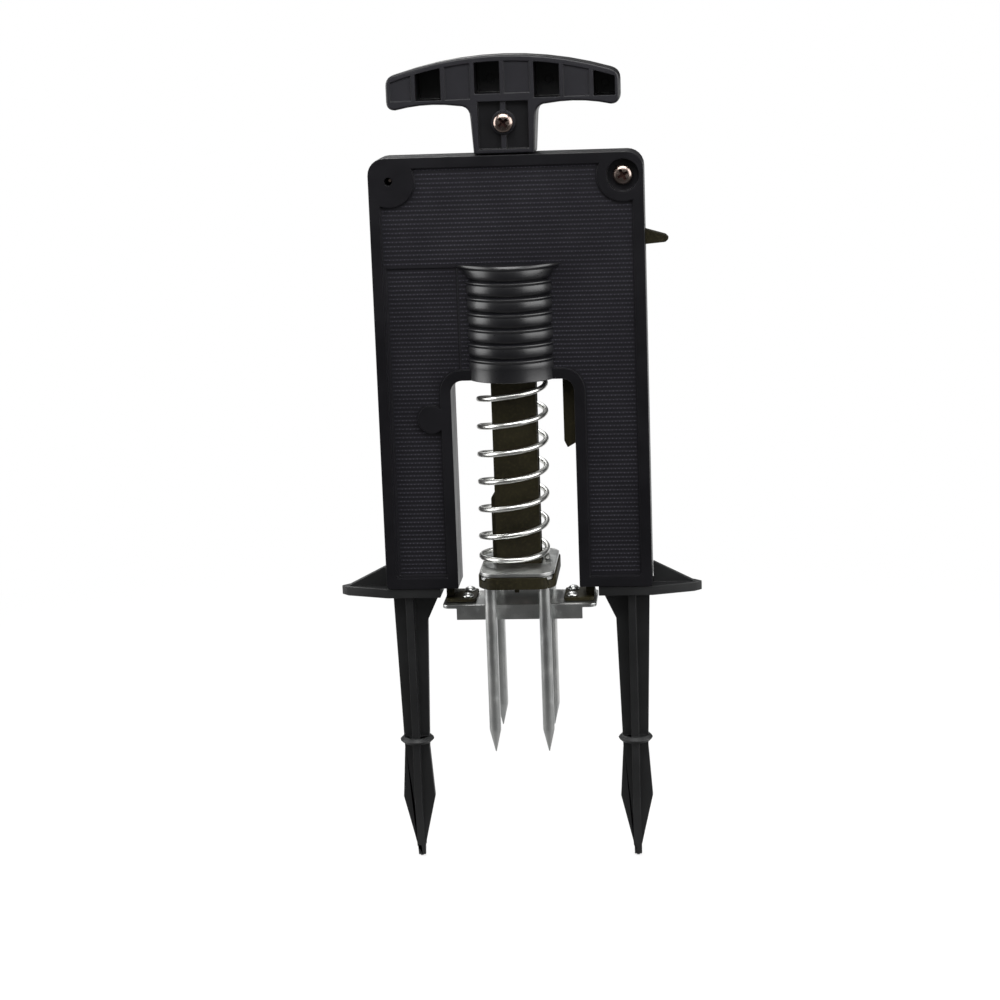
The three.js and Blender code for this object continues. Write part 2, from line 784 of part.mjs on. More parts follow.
// The torsion spring on the lever pin: a short leg over the housing's ledge, a long leg behind the arm
function leverReturnSpring() {
  const start = pinFaceGap + leverSpring.wireRadius;
  const steps = Math.round(leverSpringTurnCount * stepsPerTurn);
  const rise = (leverSpring.pitch * leverSpringTurnCount) / steps;
  const [cx, cz] = [pivotX, pivotZ];
  const shortEnd = [cx + leverSpring.shortLeg, start + rise * steps, cz + leverSpring.coilRadius];
  const points = [new THREE.Vector3(...shortEnd)];
  for (let i = 0; i <= steps; i++) {
    const angle = Math.PI / 2 + (2 * Math.PI * i) / stepsPerTurn;
    const x = cx + leverSpring.coilRadius * Math.cos(angle);
    const z = cz + leverSpring.coilRadius * Math.sin(angle);
    points.push(new THREE.Vector3(x, start + rise * (steps - i), z));
  }
  points.pop();
  points.pop();
  const legX = leverRight + seatGap + leverSpring.wireRadius;
  points.push(new THREE.Vector3(cx + leverSpring.coilRadius, start + rise, cz));
  points.push(new THREE.Vector3(legX + leverSpring.coilRadius / 2, start, cz + leverSpring.longLeg / 2));
  points.push(new THREE.Vector3(legX, start, cz + leverSpring.longLeg));
  points.push(new THREE.Vector3(legX, 0, cz + leverSpring.longLeg + leverSpring.wireRadius));
  const gap = leastGap(points, leverSpring.wireRadius);
  console.log("lever_spring least gap to itself: " + gap.toFixed(2) + " mm");
  return wireAlong(points, leverSpring.wireRadius);
}

function leverPin() {
  const reach = innerFace + pin.wallBite - seatGap;
  return rodY(pivotX, pivotZ, pin.radius, -reach, reach, 16);
}

// The height of the lever's underside at a given X: the toe's slope, then the steeper cam face
function camHeight(x) {
  const toeRise = Math.tan(THREE.MathUtils.degToRad(toeAngle));
  const camRise = Math.tan(THREE.MathUtils.degToRad(camAngle));
  return toeZ + (Math.min(x, camX) - toeX) * toeRise + Math.max(x - camX, 0) * camRise;
}

// The trip lever: arm, nose towards the plunger, tab through the housing wall, and cam heel in the leg
function tripLever() {
  const noseTip = plunger.width / 2 + seatGap;
  const noseHigh = noseLow + lever.noseHeight;
  const tabLow = pivotZ + lever.tabRootRise;
  const tabHigh = tabLow + lever.tabRootHeight;
  const tipLow = pivotZ + lever.tabTipRise;
  const tipHigh = tipLow + lever.tabTipHeight;
  const tabEnd = halfWidth + lever.tabLength;
  const arm = polygon([
    [toeX, toeZ],
    [camX, camHeight(camX)],
    [heelX, camHeight(heelX)],
    [heelX, pivotZ - lever.heelDrop],
    [leverRight, pivotZ - lever.heelBlendDrop],
    [leverRight, tabLow],
    [halfWidth, tabLow],
    [tabEnd - lever.tabTipRadius, tipLow],
    [tabEnd, tipLow + lever.tabTipRadius],
    [tabEnd, tipHigh - lever.tabTipRadius],
    [tabEnd - lever.tabTipRadius, tipHigh],
    [halfWidth, tabHigh],
    [leverRight, tabHigh],
    [leverRight, pivotZ + lever.topRise],
    [leverLeft, pivotZ + lever.topRise],
    [leverLeft, noseHigh + lever.noseRamp],
    [noseTip + lever.noseRamp, noseHigh],
    [noseTip, noseHigh - lever.noseRamp],
    [noseTip, noseLow],
    [leverLeft, noseLow - lever.noseRamp],
    [leverLeft, toeZ + lever.toeChamfer],
  ]);
  const hub = rodY(pivotX, pivotZ, lever.hubRadius, -leverFace, leverFace, 24);
  const hole = rodY(pivotX, pivotZ, pin.radius + seatGap, -leverFace - overrun, leverFace + overrun, 16);
  return slabY(arm, -leverFace, leverFace).add(hub).subtract(hole);
}

// The plunger bar with its tenon, guide rib, side coring and catch notch
function plungerBar() {
  const [halfX, halfY] = [plunger.width / 2, plunger.depth / 2];
  const bar = block([-halfX, halfX], [-halfY, halfY], [plungerBottom, plungerShoulder]);
  const tenon = block(
    [-tenonHalfX, tenonHalfX],
    [-tenonHalfY, tenonHalfY],
    [plungerShoulder - overrun, tenonTop],
  );
  const ribLow = plateTop + seatGap;
  const ribTop = plateTop + plunger.ribRise;
  const ribOutline = polygon([
    [-halfX - plunger.ribReach, ribLow],
    [overrun - halfX, ribLow],
    [overrun - halfX, ribTop + plunger.ribChamfer],
    [-halfX, ribTop + plunger.ribChamfer],
    [-halfX - plunger.ribReach, ribTop],
  ]);
  const rib = slabY(ribOutline, -plunger.ribDepth / 2, plunger.ribDepth / 2);
  const notchLow = noseLow - plunger.travel;
  const cuts = [
    block(
      [halfX - catchNotch.depth, halfX + overrun],
      [-halfY - overrun, halfY + overrun],
      [notchLow, notchLow + catchNotch.height],
    ),
    rodY(0, handleBottom + handleScrew.height, shankHole, -halfY - overrun, halfY + overrun, 16),
    rodZ(0, 0, shankHole, plungerBottom - overrun, hubBottom + carrierScrew.length + seatGap, 16),
  ];
  const web = plunger.coringWeb;
  cuts.push(...coringCuts(1, ribLow + web, notchLow - web, rightCoringCount));
  cuts.push(...coringCuts(-1, ribTop + plunger.ribChamfer + web, plungerShoulder - web, leftCoringCount));
  return cutAll(joined([bar, tenon, rib]), cuts);
}

// A column of pockets moulded into one flank of the bar, with a web between each two
function coringCuts(hand, low, high, count) {
  const pitch = (high - low) / count;
  const web = plunger.coringWeb;
  const outside = hand * (plunger.width / 2 + overrun);
  const floor = hand * (plunger.width / 2 - plunger.coringDepth);
  const half = plunger.coringWidth / 2;
  const cuts = [];
  for (let i = 0; i < count; i++) {
    cuts.push(block([outside, floor], [-half, half], [low + pitch * i, low + pitch * (i + 1) - web]));
  }
  return cuts;
}

// The top edge of the crossbar at a given X, drawn in by a margin
function crownHeight(x, margin) {
  const radius = handle.topRadius - margin;
  const centre = handleBottom + handle.crownHeight - handle.topRadius;
  return centre + Math.sqrt(radius ** 2 - x ** 2);
}

function handleOutline() {
  const end = handle.halfSpan;
  const corner = handle.endCornerRadius;
  const under = handleBottom + handle.undersideHeight;
  const endLow = handleEndLow;
  const shoulder = end - corner;
  const centre = handleBottom + handle.crownHeight - handle.topRadius;
  const sweep = Math.asin(shoulder / handle.topRadius);
  const neckOut = neckHalfWidth + handle.neckFillet;
  const archX = (shoulder + neckOut) / 2;
  const archHeight = under + handle.archRise;
  const outline = new THREE.Shape();
  outline.moveTo(-footHalfWidth, handleBottom);
  outline.lineTo(footHalfWidth, handleBottom);
  outline.lineTo(neckHalfWidth, under - handle.neckFillet);
  outline.quadraticCurveTo(neckHalfWidth, under, neckOut, under);
  outline.quadraticCurveTo(archX, archHeight, shoulder, endLow);
  outline.quadraticCurveTo(end, endLow, end, endLow + corner);
  outline.lineTo(end, crownHeight(end, 0) - corner);
  outline.quadraticCurveTo(end, crownHeight(end, 0), shoulder, crownHeight(shoulder, 0));
  outline.absarc(0, centre, handle.topRadius, Math.PI / 2 - sweep, Math.PI / 2 + sweep);
  outline.quadraticCurveTo(-end, crownHeight(end, 0), -end, crownHeight(end, 0) - corner);
  outline.lineTo(-end, endLow + corner);
  outline.quadraticCurveTo(-end, endLow, -shoulder, endLow);
  outline.quadraticCurveTo(-archX, archHeight, -neckOut, under);
  outline.quadraticCurveTo(-neckHalfWidth, under, -neckHalfWidth, under - handle.neckFillet);
  return outline;
}

// The band inside the crossbar that its pockets may take up
function pocketBand() {
  const reach = handle.halfSpan - handle.cellWall;
  const low = handleEndLow + handle.bottomWall;
  const radius = handle.topRadius - handle.topWall;
  const centre = handleBottom + handle.crownHeight - handle.topRadius;
  const sweep = Math.asin(reach / radius);
  const outline = new THREE.Shape();
  outline.moveTo(-reach, low);
  outline.lineTo(reach, low);
  outline.absarc(0, centre, radius, Math.PI / 2 - sweep, Math.PI / 2 + sweep);
  return outline;
}

// The T-handle: cells cored by turns from the front and the back, and a panelled stem with a socket
function tHandle() {
  const half = handle.depth / 2;
  const geometry = new THREE.ExtrudeGeometry(handleOutline(), {
    depth: handle.depth - 2 * handle.bevel,
    bevelEnabled: true,
    bevelThickness: handle.bevel,
    bevelSize: handle.bevel,
    bevelOffset: -handle.bevel,
    bevelSegments: 2,
    curveSegments: 5,
  });
  geometry.rotateX(Math.PI / 2);
  geometry.translate(0, half - handle.bevel, 0);
  const body = solidOf(geometry);

  const cuts = [];
  const past = half + overrun;
  const band = slabY(pocketBand(), -past, past, 8);
  const stemTop = handleBottom + stemRecess.high + handle.stemWall;
  const cellPitch = (2 * (handle.halfSpan + handle.cellRunout)) / cellCount;
  const pocketWidth = cellPitch - handle.cellWall;
  for (let cell = 0; cell < cellCount; cell++) {
    const centre = (cell - (cellCount - 1) / 2) * cellPitch;
    const side = cell % 2 ? -1 : 1;
    const pocketFloor = handle.backWall + handle.closedCellSink - half;
    const across = [centre - pocketWidth / 2, centre + pocketWidth / 2];
    const low = Math.abs(centre) < footHalfWidth ? stemTop : handleBottom;
    const upright = [low, handleBottom + handle.crownHeight];
    const pocket = block(across, [side * past, side * pocketFloor], upright);
    const sunkFace = block(across, [side * (handle.closedCellSink - half), -side * past], upright);
    cuts.push(band.intersect(pocket), band.intersect(sunkFace));
  }

  const screwHeight = handleBottom + handleScrew.height;
  const floor = half - stemRecess.depth;
  const stemRange = [handleBottom + stemRecess.low, handleBottom + stemRecess.high];
  const recessX = footHalfWidth - stemRecess.rim;
  for (const side of [-1, 1]) {
    const recess = block([-recessX, recessX], [side * floor, side * (half + overrun)], stemRange);
    const ribX = stemRecess.ribHalfWidth;
    const rib = block([-ribX, ribX], [0, side * (half - stemRecess.ribSink)], stemRange);
    const boss = rodY(0, screwHeight, stemRecess.bossRadius, 0, side * (floor + stemRecess.bossRise), 24);
    cuts.push(cutAll(recess, [rib, boss]));
  }
  const socketX = tenonHalfX + seatGap;
  const socketY = tenonHalfY + seatGap;
  cuts.push(block([-socketX, socketX], [-socketY, socketY], [handleBottom - overrun, tenonTop + seatGap]));
  const holeEnd = handleScrew.length - floor - stemRecess.bossRise;
  cuts.push(rodY(0, screwHeight, shankHole, -half - overrun, holeEnd, 16));
  return cutAll(body, cuts);
}

// The tine carrier, with a hub that takes the plunger's foot
function tineCarrier() {
  const [halfX, halfY] = [carrier.width / 2, carrier.length / 2];
  const radius = carrier.cornerRadius;
  const outline = roundedOutline([-halfX, halfX], [-halfY, halfY], radius, radius);
  const deck = slabZ(outline, carrier.bottom, carrierTop, 4);
  const hubX = plunger.width / 2 + carrier.hubSideMargin;
  const hubY = plunger.depth / 2 + carrier.hubEndMargin;
  const hub = block([-hubX, hubX], [-hubY, hubY], [hubBottom, carrierTop]);
  const ribEnd = halfY - carrier.ribInset;
  const ribX = carrier.ribWidth / 2;
  const rib = block([-ribX, ribX], [-ribEnd, ribEnd], [hubBottom, carrierTop]);
  const socketX = plunger.width / 2 + seatGap;
  const socketY = plunger.depth / 2 + seatGap;
  const cuts = [
    block([-socketX, socketX], [-socketY, socketY], [hubBottom + carrier.socketFloor, carrierTop + overrun]),
    rodZ(0, 0, shankHole, hubBottom - overrun, carrierTop, 16),
  ];
  for (const [x, y] of tinePlaces()) {
    cuts.push(rodZ(x, y, tine.radius + seatGap, hubBottom - overrun, carrierTop + overrun, 16));
    const headFloor = carrierTop - tine.headHeight - seatGap;
    cuts.push(rodZ(x, y, tine.headRadius + seatGap, headFloor, carrierTop + overrun, 20));
  }
  return cutAll(joined([deck, hub, rib]), cuts);
}

function tinePlaces() {
  const places = [];
  const sideReach = carrier.width / 2 - tine.sideInset;
  const endReach = carrier.length / 2 - tine.endInset;
  for (const y of [-endReach, endReach]) {
    for (const x of [-sideReach, sideReach]) places.push([x, y]);
  }
  return places;
}

// The plate that holds the tine heads down and takes the foot of the spring
function springFootPlate() {
  const halfX = carrier.width / 2 - footPlate.inset;
  const halfY = carrier.length / 2 - footPlate.inset;
  const radius = carrier.cornerRadius - footPlate.inset;
  const outline = roundedOutline([-halfX, halfX], [-halfY, halfY], radius, radius);
  const socketX = plunger.width / 2 + seatGap;
  const socketY = plunger.depth / 2 + seatGap;
  const hole = block([-socketX, socketX], [-socketY, socketY], [carrierTop, plateTop + overrun]);
  return slabZ(outline, plateBottom, plateTop, 4).subtract(hole);
}

// A tine: its head stands on z = 0 and its shank points down to a sharp tip
function tineBody() {
  const length = carrierTop - tine.headHeight + tine.depth;
  return turned(
    [
      [0, -length],
      [tine.pointRadius, -length],
      [tine.radius, tine.pointLength - length],
      [tine.radius, 0],
      [tine.headRadius, 0],
      [tine.headRadius, tine.headHeight],
      [0, tine.headHeight],
    ],
    14,
  );
}

// The trigger pan, a pressed channel with its lips turned down
function triggerPan() {
  const low = panTop - pan.thickness;
  const lipLow = low - pan.lipDrop;
  const halfLength = stakeFootInner - pan.endGap;
  const outline = roundedOutline(
    [-halfLength, halfLength],
    [-pan.halfWidth, pan.halfWidth],
    pan.cornerRadius,
    pan.cornerRadius,
  );
  const insideX = halfLength + overrun;
  const insideY = pan.halfWidth - pan.thickness;
  const outsideY = pan.halfWidth + overrun;
  const under = [lipLow - overrun, low];
  const cuts = [block([-insideX, insideX], [-insideY, insideY], under)];
  for (const hand of [-1, 1]) {
    const openEnd = [hand * (halfLength - 2 * pan.cornerRadius), hand * insideX];
    cuts.push(block(openEnd, [-outsideY, outsideY], under));
    for (const y of [-rivet.spread, rivet.spread]) {
      cuts.push(rodZ(hand * rivetX, y, rivet.shankRadius + seatGap, low - overrun, panTop + overrun, 12));
    }
  }
  return cutAll(slabZ(outline, lipLow, panTop), cuts);
}

// A strut on the pan: foot, upright and a collar that hangs on the leg's floor, for the right-hand side
function strutBody(topOutline) {
  const footLow = panTop + seatGap;
  const footHigh = footLow + strut.footThickness;
  const footOutline = roundedOutline(
    [strutInner - strut.footLength, strutOuter],
    [-strut.footHalfWidth, strut.footHalfWidth],
    strut.footThickness,
    strut.footThickness,
  );
  const faces = [-strut.halfWidth, strut.halfWidth];
  const collarLow = legBottom + housing.wall + seatGap;
  const collar = block(
    [strutInner, strutOuter + strut.collarReach],
    faces,
    [collarLow, collarLow + strut.collarHeight],
  );
  const uprightOutline = polygon([[strutInner, footLow], [strutOuter, footLow], ...topOutline]);
  const upright = slabY(uprightOutline, ...faces);
  const holes = [-rivet.spread, rivet.spread].map((y) =>
    rodZ(rivetX, y, rivet.shankRadius + seatGap, footLow - overrun, footHigh + overrun, 12),
  );
  return cutAll(joined([slabZ(footOutline, footLow, footHigh, 2), collar, upright]), holes);
}

function guideStrut() {
  const tip = strut.tipChamfer;
  const top = legBottom + strut.rise;
  return mirroredX(
    strutBody([
      [strutOuter, top - tip],
      [strutOuter - tip, top],
      [strutInner + tip, top],
      [strutInner, top - tip],
    ]),
  );
}

function triggerRiser() {
  const drop = runningGap / Math.cos(THREE.MathUtils.degToRad(camAngle));
  return strutBody([
    [strutOuter, camHeight(strutOuter) - drop],
    [strutInner, camHeight(strutInner) - drop],
  ]);
}

// A rivet with a domed head each end: its lower head hangs under z = 0
function rivetBody() {
  const grip = pan.thickness + seatGap * 3 + strut.footThickness;
  const dome = rivet.headHeight / 2;
  return turned(
    [
      [0, -rivet.headHeight],
      [rivet.headRadius / 2, -rivet.headHeight],
      [rivet.headRadius, -dome],
      [rivet.headRadius, 0],
      [rivet.shankRadius, 0],
      [rivet.shankRadius, grip],
      [rivet.headRadius, grip],
      [rivet.headRadius, grip + dome],
      [rivet.headRadius / 2, grip + rivet.headHeight],
      [0, grip + rivet.headHeight],
    ],
    14,
  );
}

// One blade of a stake's cross section, as wide as the stake and tapering to its spear tip
function stakeBlade(width, middle) {
  const waist = (width * waistWidthShare) / 2;
  const shoulder = (width * shoulderWidthShare) / 2;
  const tip = stake.tipWidth / 2;
  const levels = [
    [width / 2, 0],
    [waist, -stake.length * waistDepthShare],
    [shoulder, -stake.length * shoulderDepthShare],
    [tip, -stake.length],
  ];
  const right = levels.map(([reach, z]) => [middle + reach, z]);
  const left = levels.map(([reach, z]) => [middle - reach, z]).reverse();
  return polygon([...left, ...right]);
}

// The right-hand stake: cross-shaped blades, a ring bump, the foot with its tab and gussets, and the plug
function stakeBody() {
  const web = stake.web / 2;
  const wide = slabY(stakeBlade(stakeRight - stakeLeft, stakeX), -web, web);
  const deepGeometry = slabY(stakeBlade(stake.depth, 0), -web, web);
  const deep = deepGeometry.rotate([0, 0, 90]).translate([stakeX, 0, 0]);
  const ringZ = -stake.length * ringDepthShare;
  const ring = turned(
    [
      [0, ringZ - stake.ringThickness / 2],
      [ringRadius - stake.ringThickness / 2, ringZ - stake.ringThickness / 2],
      [ringRadius, ringZ],
      [ringRadius - stake.ringThickness / 2, ringZ + stake.ringThickness / 2],
      [0, ringZ + stake.ringThickness / 2],
    ],
    16,
  ).translate([stakeX, 0, 0]);

  const footHalfDepth = halfDepth - stake.footMargin;
  const tabEnd = halfWidth + stake.tabLength;
  const foot = slabZ(
    polygon([
      [stakeFootInner, -footHalfDepth],
      [halfWidth, -footHalfDepth],
      [tabEnd - stake.tabTipHalfDepth, -stake.tabTipHalfDepth],
      [tabEnd, 0],
      [tabEnd - stake.tabTipHalfDepth, stake.tabTipHalfDepth],
      [halfWidth, footHalfDepth],
      [stakeFootInner, footHalfDepth],
    ]),
    0,
    stake.footThickness,
  );
  const gussetX = halfWidth + seatGap;
  const gusset = slabY(
    polygon([
      [gussetX, 0],
      [tabEnd - stake.tabTipHalfDepth, 0],
      [tabEnd - stake.tabTipHalfDepth, stake.footThickness],
      [gussetX, stake.footThickness + stake.gussetHeight],
    ]),
    -web,
    web,
  );
  const gussetEnd = stakeFootInner + stake.innerGussetInset;
  const innerGusset = slabY(
    polygon([
      [stakeLeft + stake.web, -stake.innerGussetDrop],
      [stakeLeft + stake.web, stake.footThickness],
      [gussetEnd, stake.footThickness],
      [gussetEnd, 0],
    ]),
    -web,
    web,
  );
  return joined([wide, deep, ring, foot, gusset, innerGusset, stakePlug()]);
}

// The plug that fills the leg's foot, cored from both faces and drilled for its screw
function stakePlug() {
  const half = innerFace - seatGap;
  const top = stake.footThickness + stake.plugHeight;
  const plug = block([plugInner, plugOuter], [-half, half], [0, top]);
  const cuts = [rodY(stakeScrewX, stakeScrewZ, shankHole, stakeScrewTip() - seatGap, half + overrun, 16)];
  const pocketLow = stake.footThickness + housing.wall + seatGap;
  const pocketMiddle = stakeScrewZ - screw.headRadius;
  const pocketHigh = stakeScrewZ + screw.headRadius;
  const inside = [plugInner + stake.plugWeb, plugOuter - stake.plugWeb];
  for (const side of [-1, 1]) {
    const range = [side * (half + overrun), side * (half - stake.plugCoring)];
    cuts.push(block(inside, range, [pocketLow, pocketMiddle]));
    cuts.push(block(inside, range, [pocketHigh, top - stake.plugWeb]));
  }
  return cutAll(plug, cuts);
}

// Where the shank of a stake screw ends, in Y
function stakeScrewTip() {
  return panelFace + seatGap - stakeScrew.length;
}

// The assembly
const trap = new THREE.Group();
const frameGroup = new THREE.Group();
const plungerGroup = new THREE.Group();
const triggerGroup = new THREE.Group();
const tripGroup = new THREE.Group();
trap.add(frameGroup, plungerGroup, triggerGroup, tripGroup);

function place(group, name, finish, solid, position = [0, 0, 0], tilt = 0) {
  const mesh = new THREE.Mesh(geometryOf(solid), new THREE.MeshStandardMaterial(finish));
  mesh.name = name;
  mesh.position.set(...position);
  mesh.rotation.x = tilt;
  group.add(mesh);
}

// The tilt that points a screw's head to the front (-1), the rear (1) or straight down (0)
function headTilt(side) {
  return side === 0 ? Math.PI : (-side * Math.PI) / 2;
}

place(frameGroup, "front_shell", shellPlastic, housingShell(-1));
place(frameGroup, "rear_shell", shellPlastic, housingShell(1));
const shellScrewBody = panScrew(shellScrew.length);
for (const site of shellScrewSites) {
  const seat = site.side * (boreFloor + seatGap);
  place(frameGroup, site.name, screwSteel, shellScrewBody, [site.x, seat, site.z], headTilt(site.side));
}
place(frameGroup, "plunger_bush", bushPlastic, plungerBush());
place(frameGroup, "spring_seat", zincSteel, springSeatWasher());
place(frameGroup, "main_spring", springSteel, mainSpring());
place(frameGroup, "lever_pin", zincSteel, leverPin());
const stakeSolid = stakeBody();
place(frameGroup, "right_stake", stakePlastic, stakeSolid);
place(frameGroup, "left_stake", stakePlastic, mirroredX(stakeSolid));
const stakeScrewBody = panScrew(stakeScrew.length);
for (const [hand, name] of [[-1, "stake_screw_left"], [1, "stake_screw_right"]]) {
  const seat = panelFace + seatGap;
  place(frameGroup, name, screwSteel, stakeScrewBody, [hand * stakeScrewX, seat, stakeScrewZ], headTilt(1));
}

place(plungerGroup, "t_handle", shellPlastic, tHandle());
place(plungerGroup, "plunger_bar", mechanismPlastic, plungerBar());
const handleScrewSeat = handle.depth / 2 - stemRecess.depth + stemRecess.bossRise + seatGap;
const handleScrewPlace = [0, -handleScrewSeat, handleBottom + handleScrew.height];
const handleScrewBody = panScrew(handleScrew.length);
place(plungerGroup, "handle_screw", screwSteel, handleScrewBody, handleScrewPlace, headTilt(-1));
place(plungerGroup, "tine_carrier", mechanismPlastic, tineCarrier());
place(plungerGroup, "spring_foot_plate", zincSteel, springFootPlate());
const carrierScrewBody = panScrew(carrierScrew.length);
const carrierScrewPlace = [0, 0, hubBottom - seatGap];
place(plungerGroup, "carrier_screw", screwSteel, carrierScrewBody, carrierScrewPlace, headTilt(0));
const tineSolid = tineBody();
tinePlaces().forEach(([x, y]) => {
  const name = "tine_" + (y < 0 ? "front" : "rear") + (x < 0 ? "_left" : "_right");
  place(plungerGroup, name, zincSteel, tineSolid, [x, y, carrierTop - tine.headHeight]);
});

place(triggerGroup, "trigger_pan", zincSteel, triggerPan());
place(triggerGroup, "guide_strut", mechanismPlastic, guideStrut());
place(triggerGroup, "trigger_riser", mechanismPlastic, triggerRiser());
const rivetSolid = rivetBody();
for (const [hand, sideName] of [[-1, "left"], [1, "right"]]) {
  for (const [end, endName] of [[-1, "front"], [1, "rear"]]) {
    const name = "pan_rivet_" + sideName + "_" + endName;
    const spot = [hand * rivetX, end * rivet.spread, panTop - pan.thickness - seatGap];
    place(triggerGroup, name, zincSteel, rivetSolid, spot);
  }
}

place(tripGroup, "trip_lever", mechanismPlastic, tripLever());
place(tripGroup, "lever_spring", springSteel, leverReturnSpring());

export default trap;
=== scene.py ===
"""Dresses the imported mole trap: a finish for each part, and round springs, screws, tines and rivets.

Metres throughout, +Z up, the front faces -Y and the ground line is z = 0.
"""

import logging
import math
from dataclasses import dataclass, field
from enum import Enum
from functools import partialmethod
from typing import Any, Iterable, Sequence

import bmesh
import bpy
from mathutils import Matrix, Vector
from mathutils.bvhtree import BVHTree


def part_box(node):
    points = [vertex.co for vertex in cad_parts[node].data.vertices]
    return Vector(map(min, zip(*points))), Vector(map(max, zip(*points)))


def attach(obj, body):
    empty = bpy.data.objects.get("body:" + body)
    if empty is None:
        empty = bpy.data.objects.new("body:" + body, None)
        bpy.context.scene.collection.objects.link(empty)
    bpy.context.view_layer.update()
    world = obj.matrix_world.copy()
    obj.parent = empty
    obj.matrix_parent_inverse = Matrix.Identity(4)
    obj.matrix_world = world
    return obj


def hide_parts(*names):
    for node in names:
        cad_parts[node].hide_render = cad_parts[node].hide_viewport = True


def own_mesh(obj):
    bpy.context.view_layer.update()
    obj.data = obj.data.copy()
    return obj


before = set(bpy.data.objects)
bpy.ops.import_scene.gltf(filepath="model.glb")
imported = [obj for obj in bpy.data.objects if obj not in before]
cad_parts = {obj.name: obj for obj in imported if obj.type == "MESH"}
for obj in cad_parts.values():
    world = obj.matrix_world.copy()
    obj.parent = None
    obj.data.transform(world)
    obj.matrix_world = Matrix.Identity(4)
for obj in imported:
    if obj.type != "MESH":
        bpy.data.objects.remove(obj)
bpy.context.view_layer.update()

log = logging.getLogger("mole_trap")

Point = tuple[float, float, float]
Colour = tuple[float, float, float]
Pair = tuple[float, float]
Outline = list[Pair]
Faces = list[tuple[int, ...]]
Piece = bpy.types.Object
Settings = dict[str, Any] | None
Sockets = dict[str | int, Any] | None

MM = 0.001
MM_PER_METRE = 1000.0
WHITE = (1.0, 1.0, 1.0, 1.0)
SMOOTH_ANGLE = math.radians(35.0)
QUARTER_TURN = math.radians(90.0)
FEW_LAYERS = 2.0
SIDES = ((-1, "front"), (1, "rear"))
BLOCK_FACES = ((0, 1, 2, 3), (4, 5, 6, 7), (0, 1, 5, 4), (1, 2, 6, 5), (2, 3, 7, 6), (3, 0, 4, 7))
PYRAMID_FACES = ((0, 1, 2, 3), (0, 1, 4), (1, 2, 4), (2, 3, 4), (3, 0, 4))


class Body(Enum):
    """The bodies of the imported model."""

    FRAME = "frame"
    PLUNGER = "plunger"
    TRIGGER = "trigger"
    TRIP = "trip"


class Facing(Enum):
    """Where the head of a screw looks."""

    FRONT = "front"
    REAR = "rear"
    DOWN = "down"


def set_all(thing: Any, settings: dict[str, Any]) -> None:
    """Sets each named attribute of a thing."""
    for name, value in settings.items():
        setattr(thing, name, value)


def modify(piece: Piece, kind: str, **settings: Any) -> None:
    """Adds a modifier with these settings."""
    set_all(piece.modifiers.new(kind.lower(), kind), settings)


class Wire:
    """The output socket of a node, whose arithmetic adds Math nodes."""

    def __init__(self, graph: "Graph", socket: bpy.types.NodeSocket) -> None:
        """Keeps the socket and the graph that it belongs to."""
        self.graph = graph
        self.socket = socket

    def math(self, operation: str, *others: "Wire | float") -> "Wire":
        """A Math node's result for self and the others."""
        return self.graph.math(operation, self, *others)

    def __rsub__(self, other: float) -> "Wire":
        """other - self."""
        return self.graph.math("SUBTRACT", other, self)

    # Each of these adds the Math node that it names.
    __add__ = partialmethod(math, "ADD")
    __sub__ = partialmethod(math, "SUBTRACT")
    __mul__ = partialmethod(math, "MULTIPLY")
    __pow__ = partialmethod(math, "POWER")
    __abs__ = partialmethod(math, "ABSOLUTE")
    over = partialmethod(math, "GREATER_THAN")
    under = partialmethod(math, "LESS_THAN")
    most = partialmethod(math, "MAXIMUM")

    def eased(self, low: float, high: float) -> "Wire":
        """0 below low, 1 above high, and smooth between them."""
        sockets = {"Value": self, "From Min": low, "From Max": high}
        return self.graph.wire("ShaderNodeMapRange", {"interpolation_type": "SMOOTHSTEP"}, sockets)


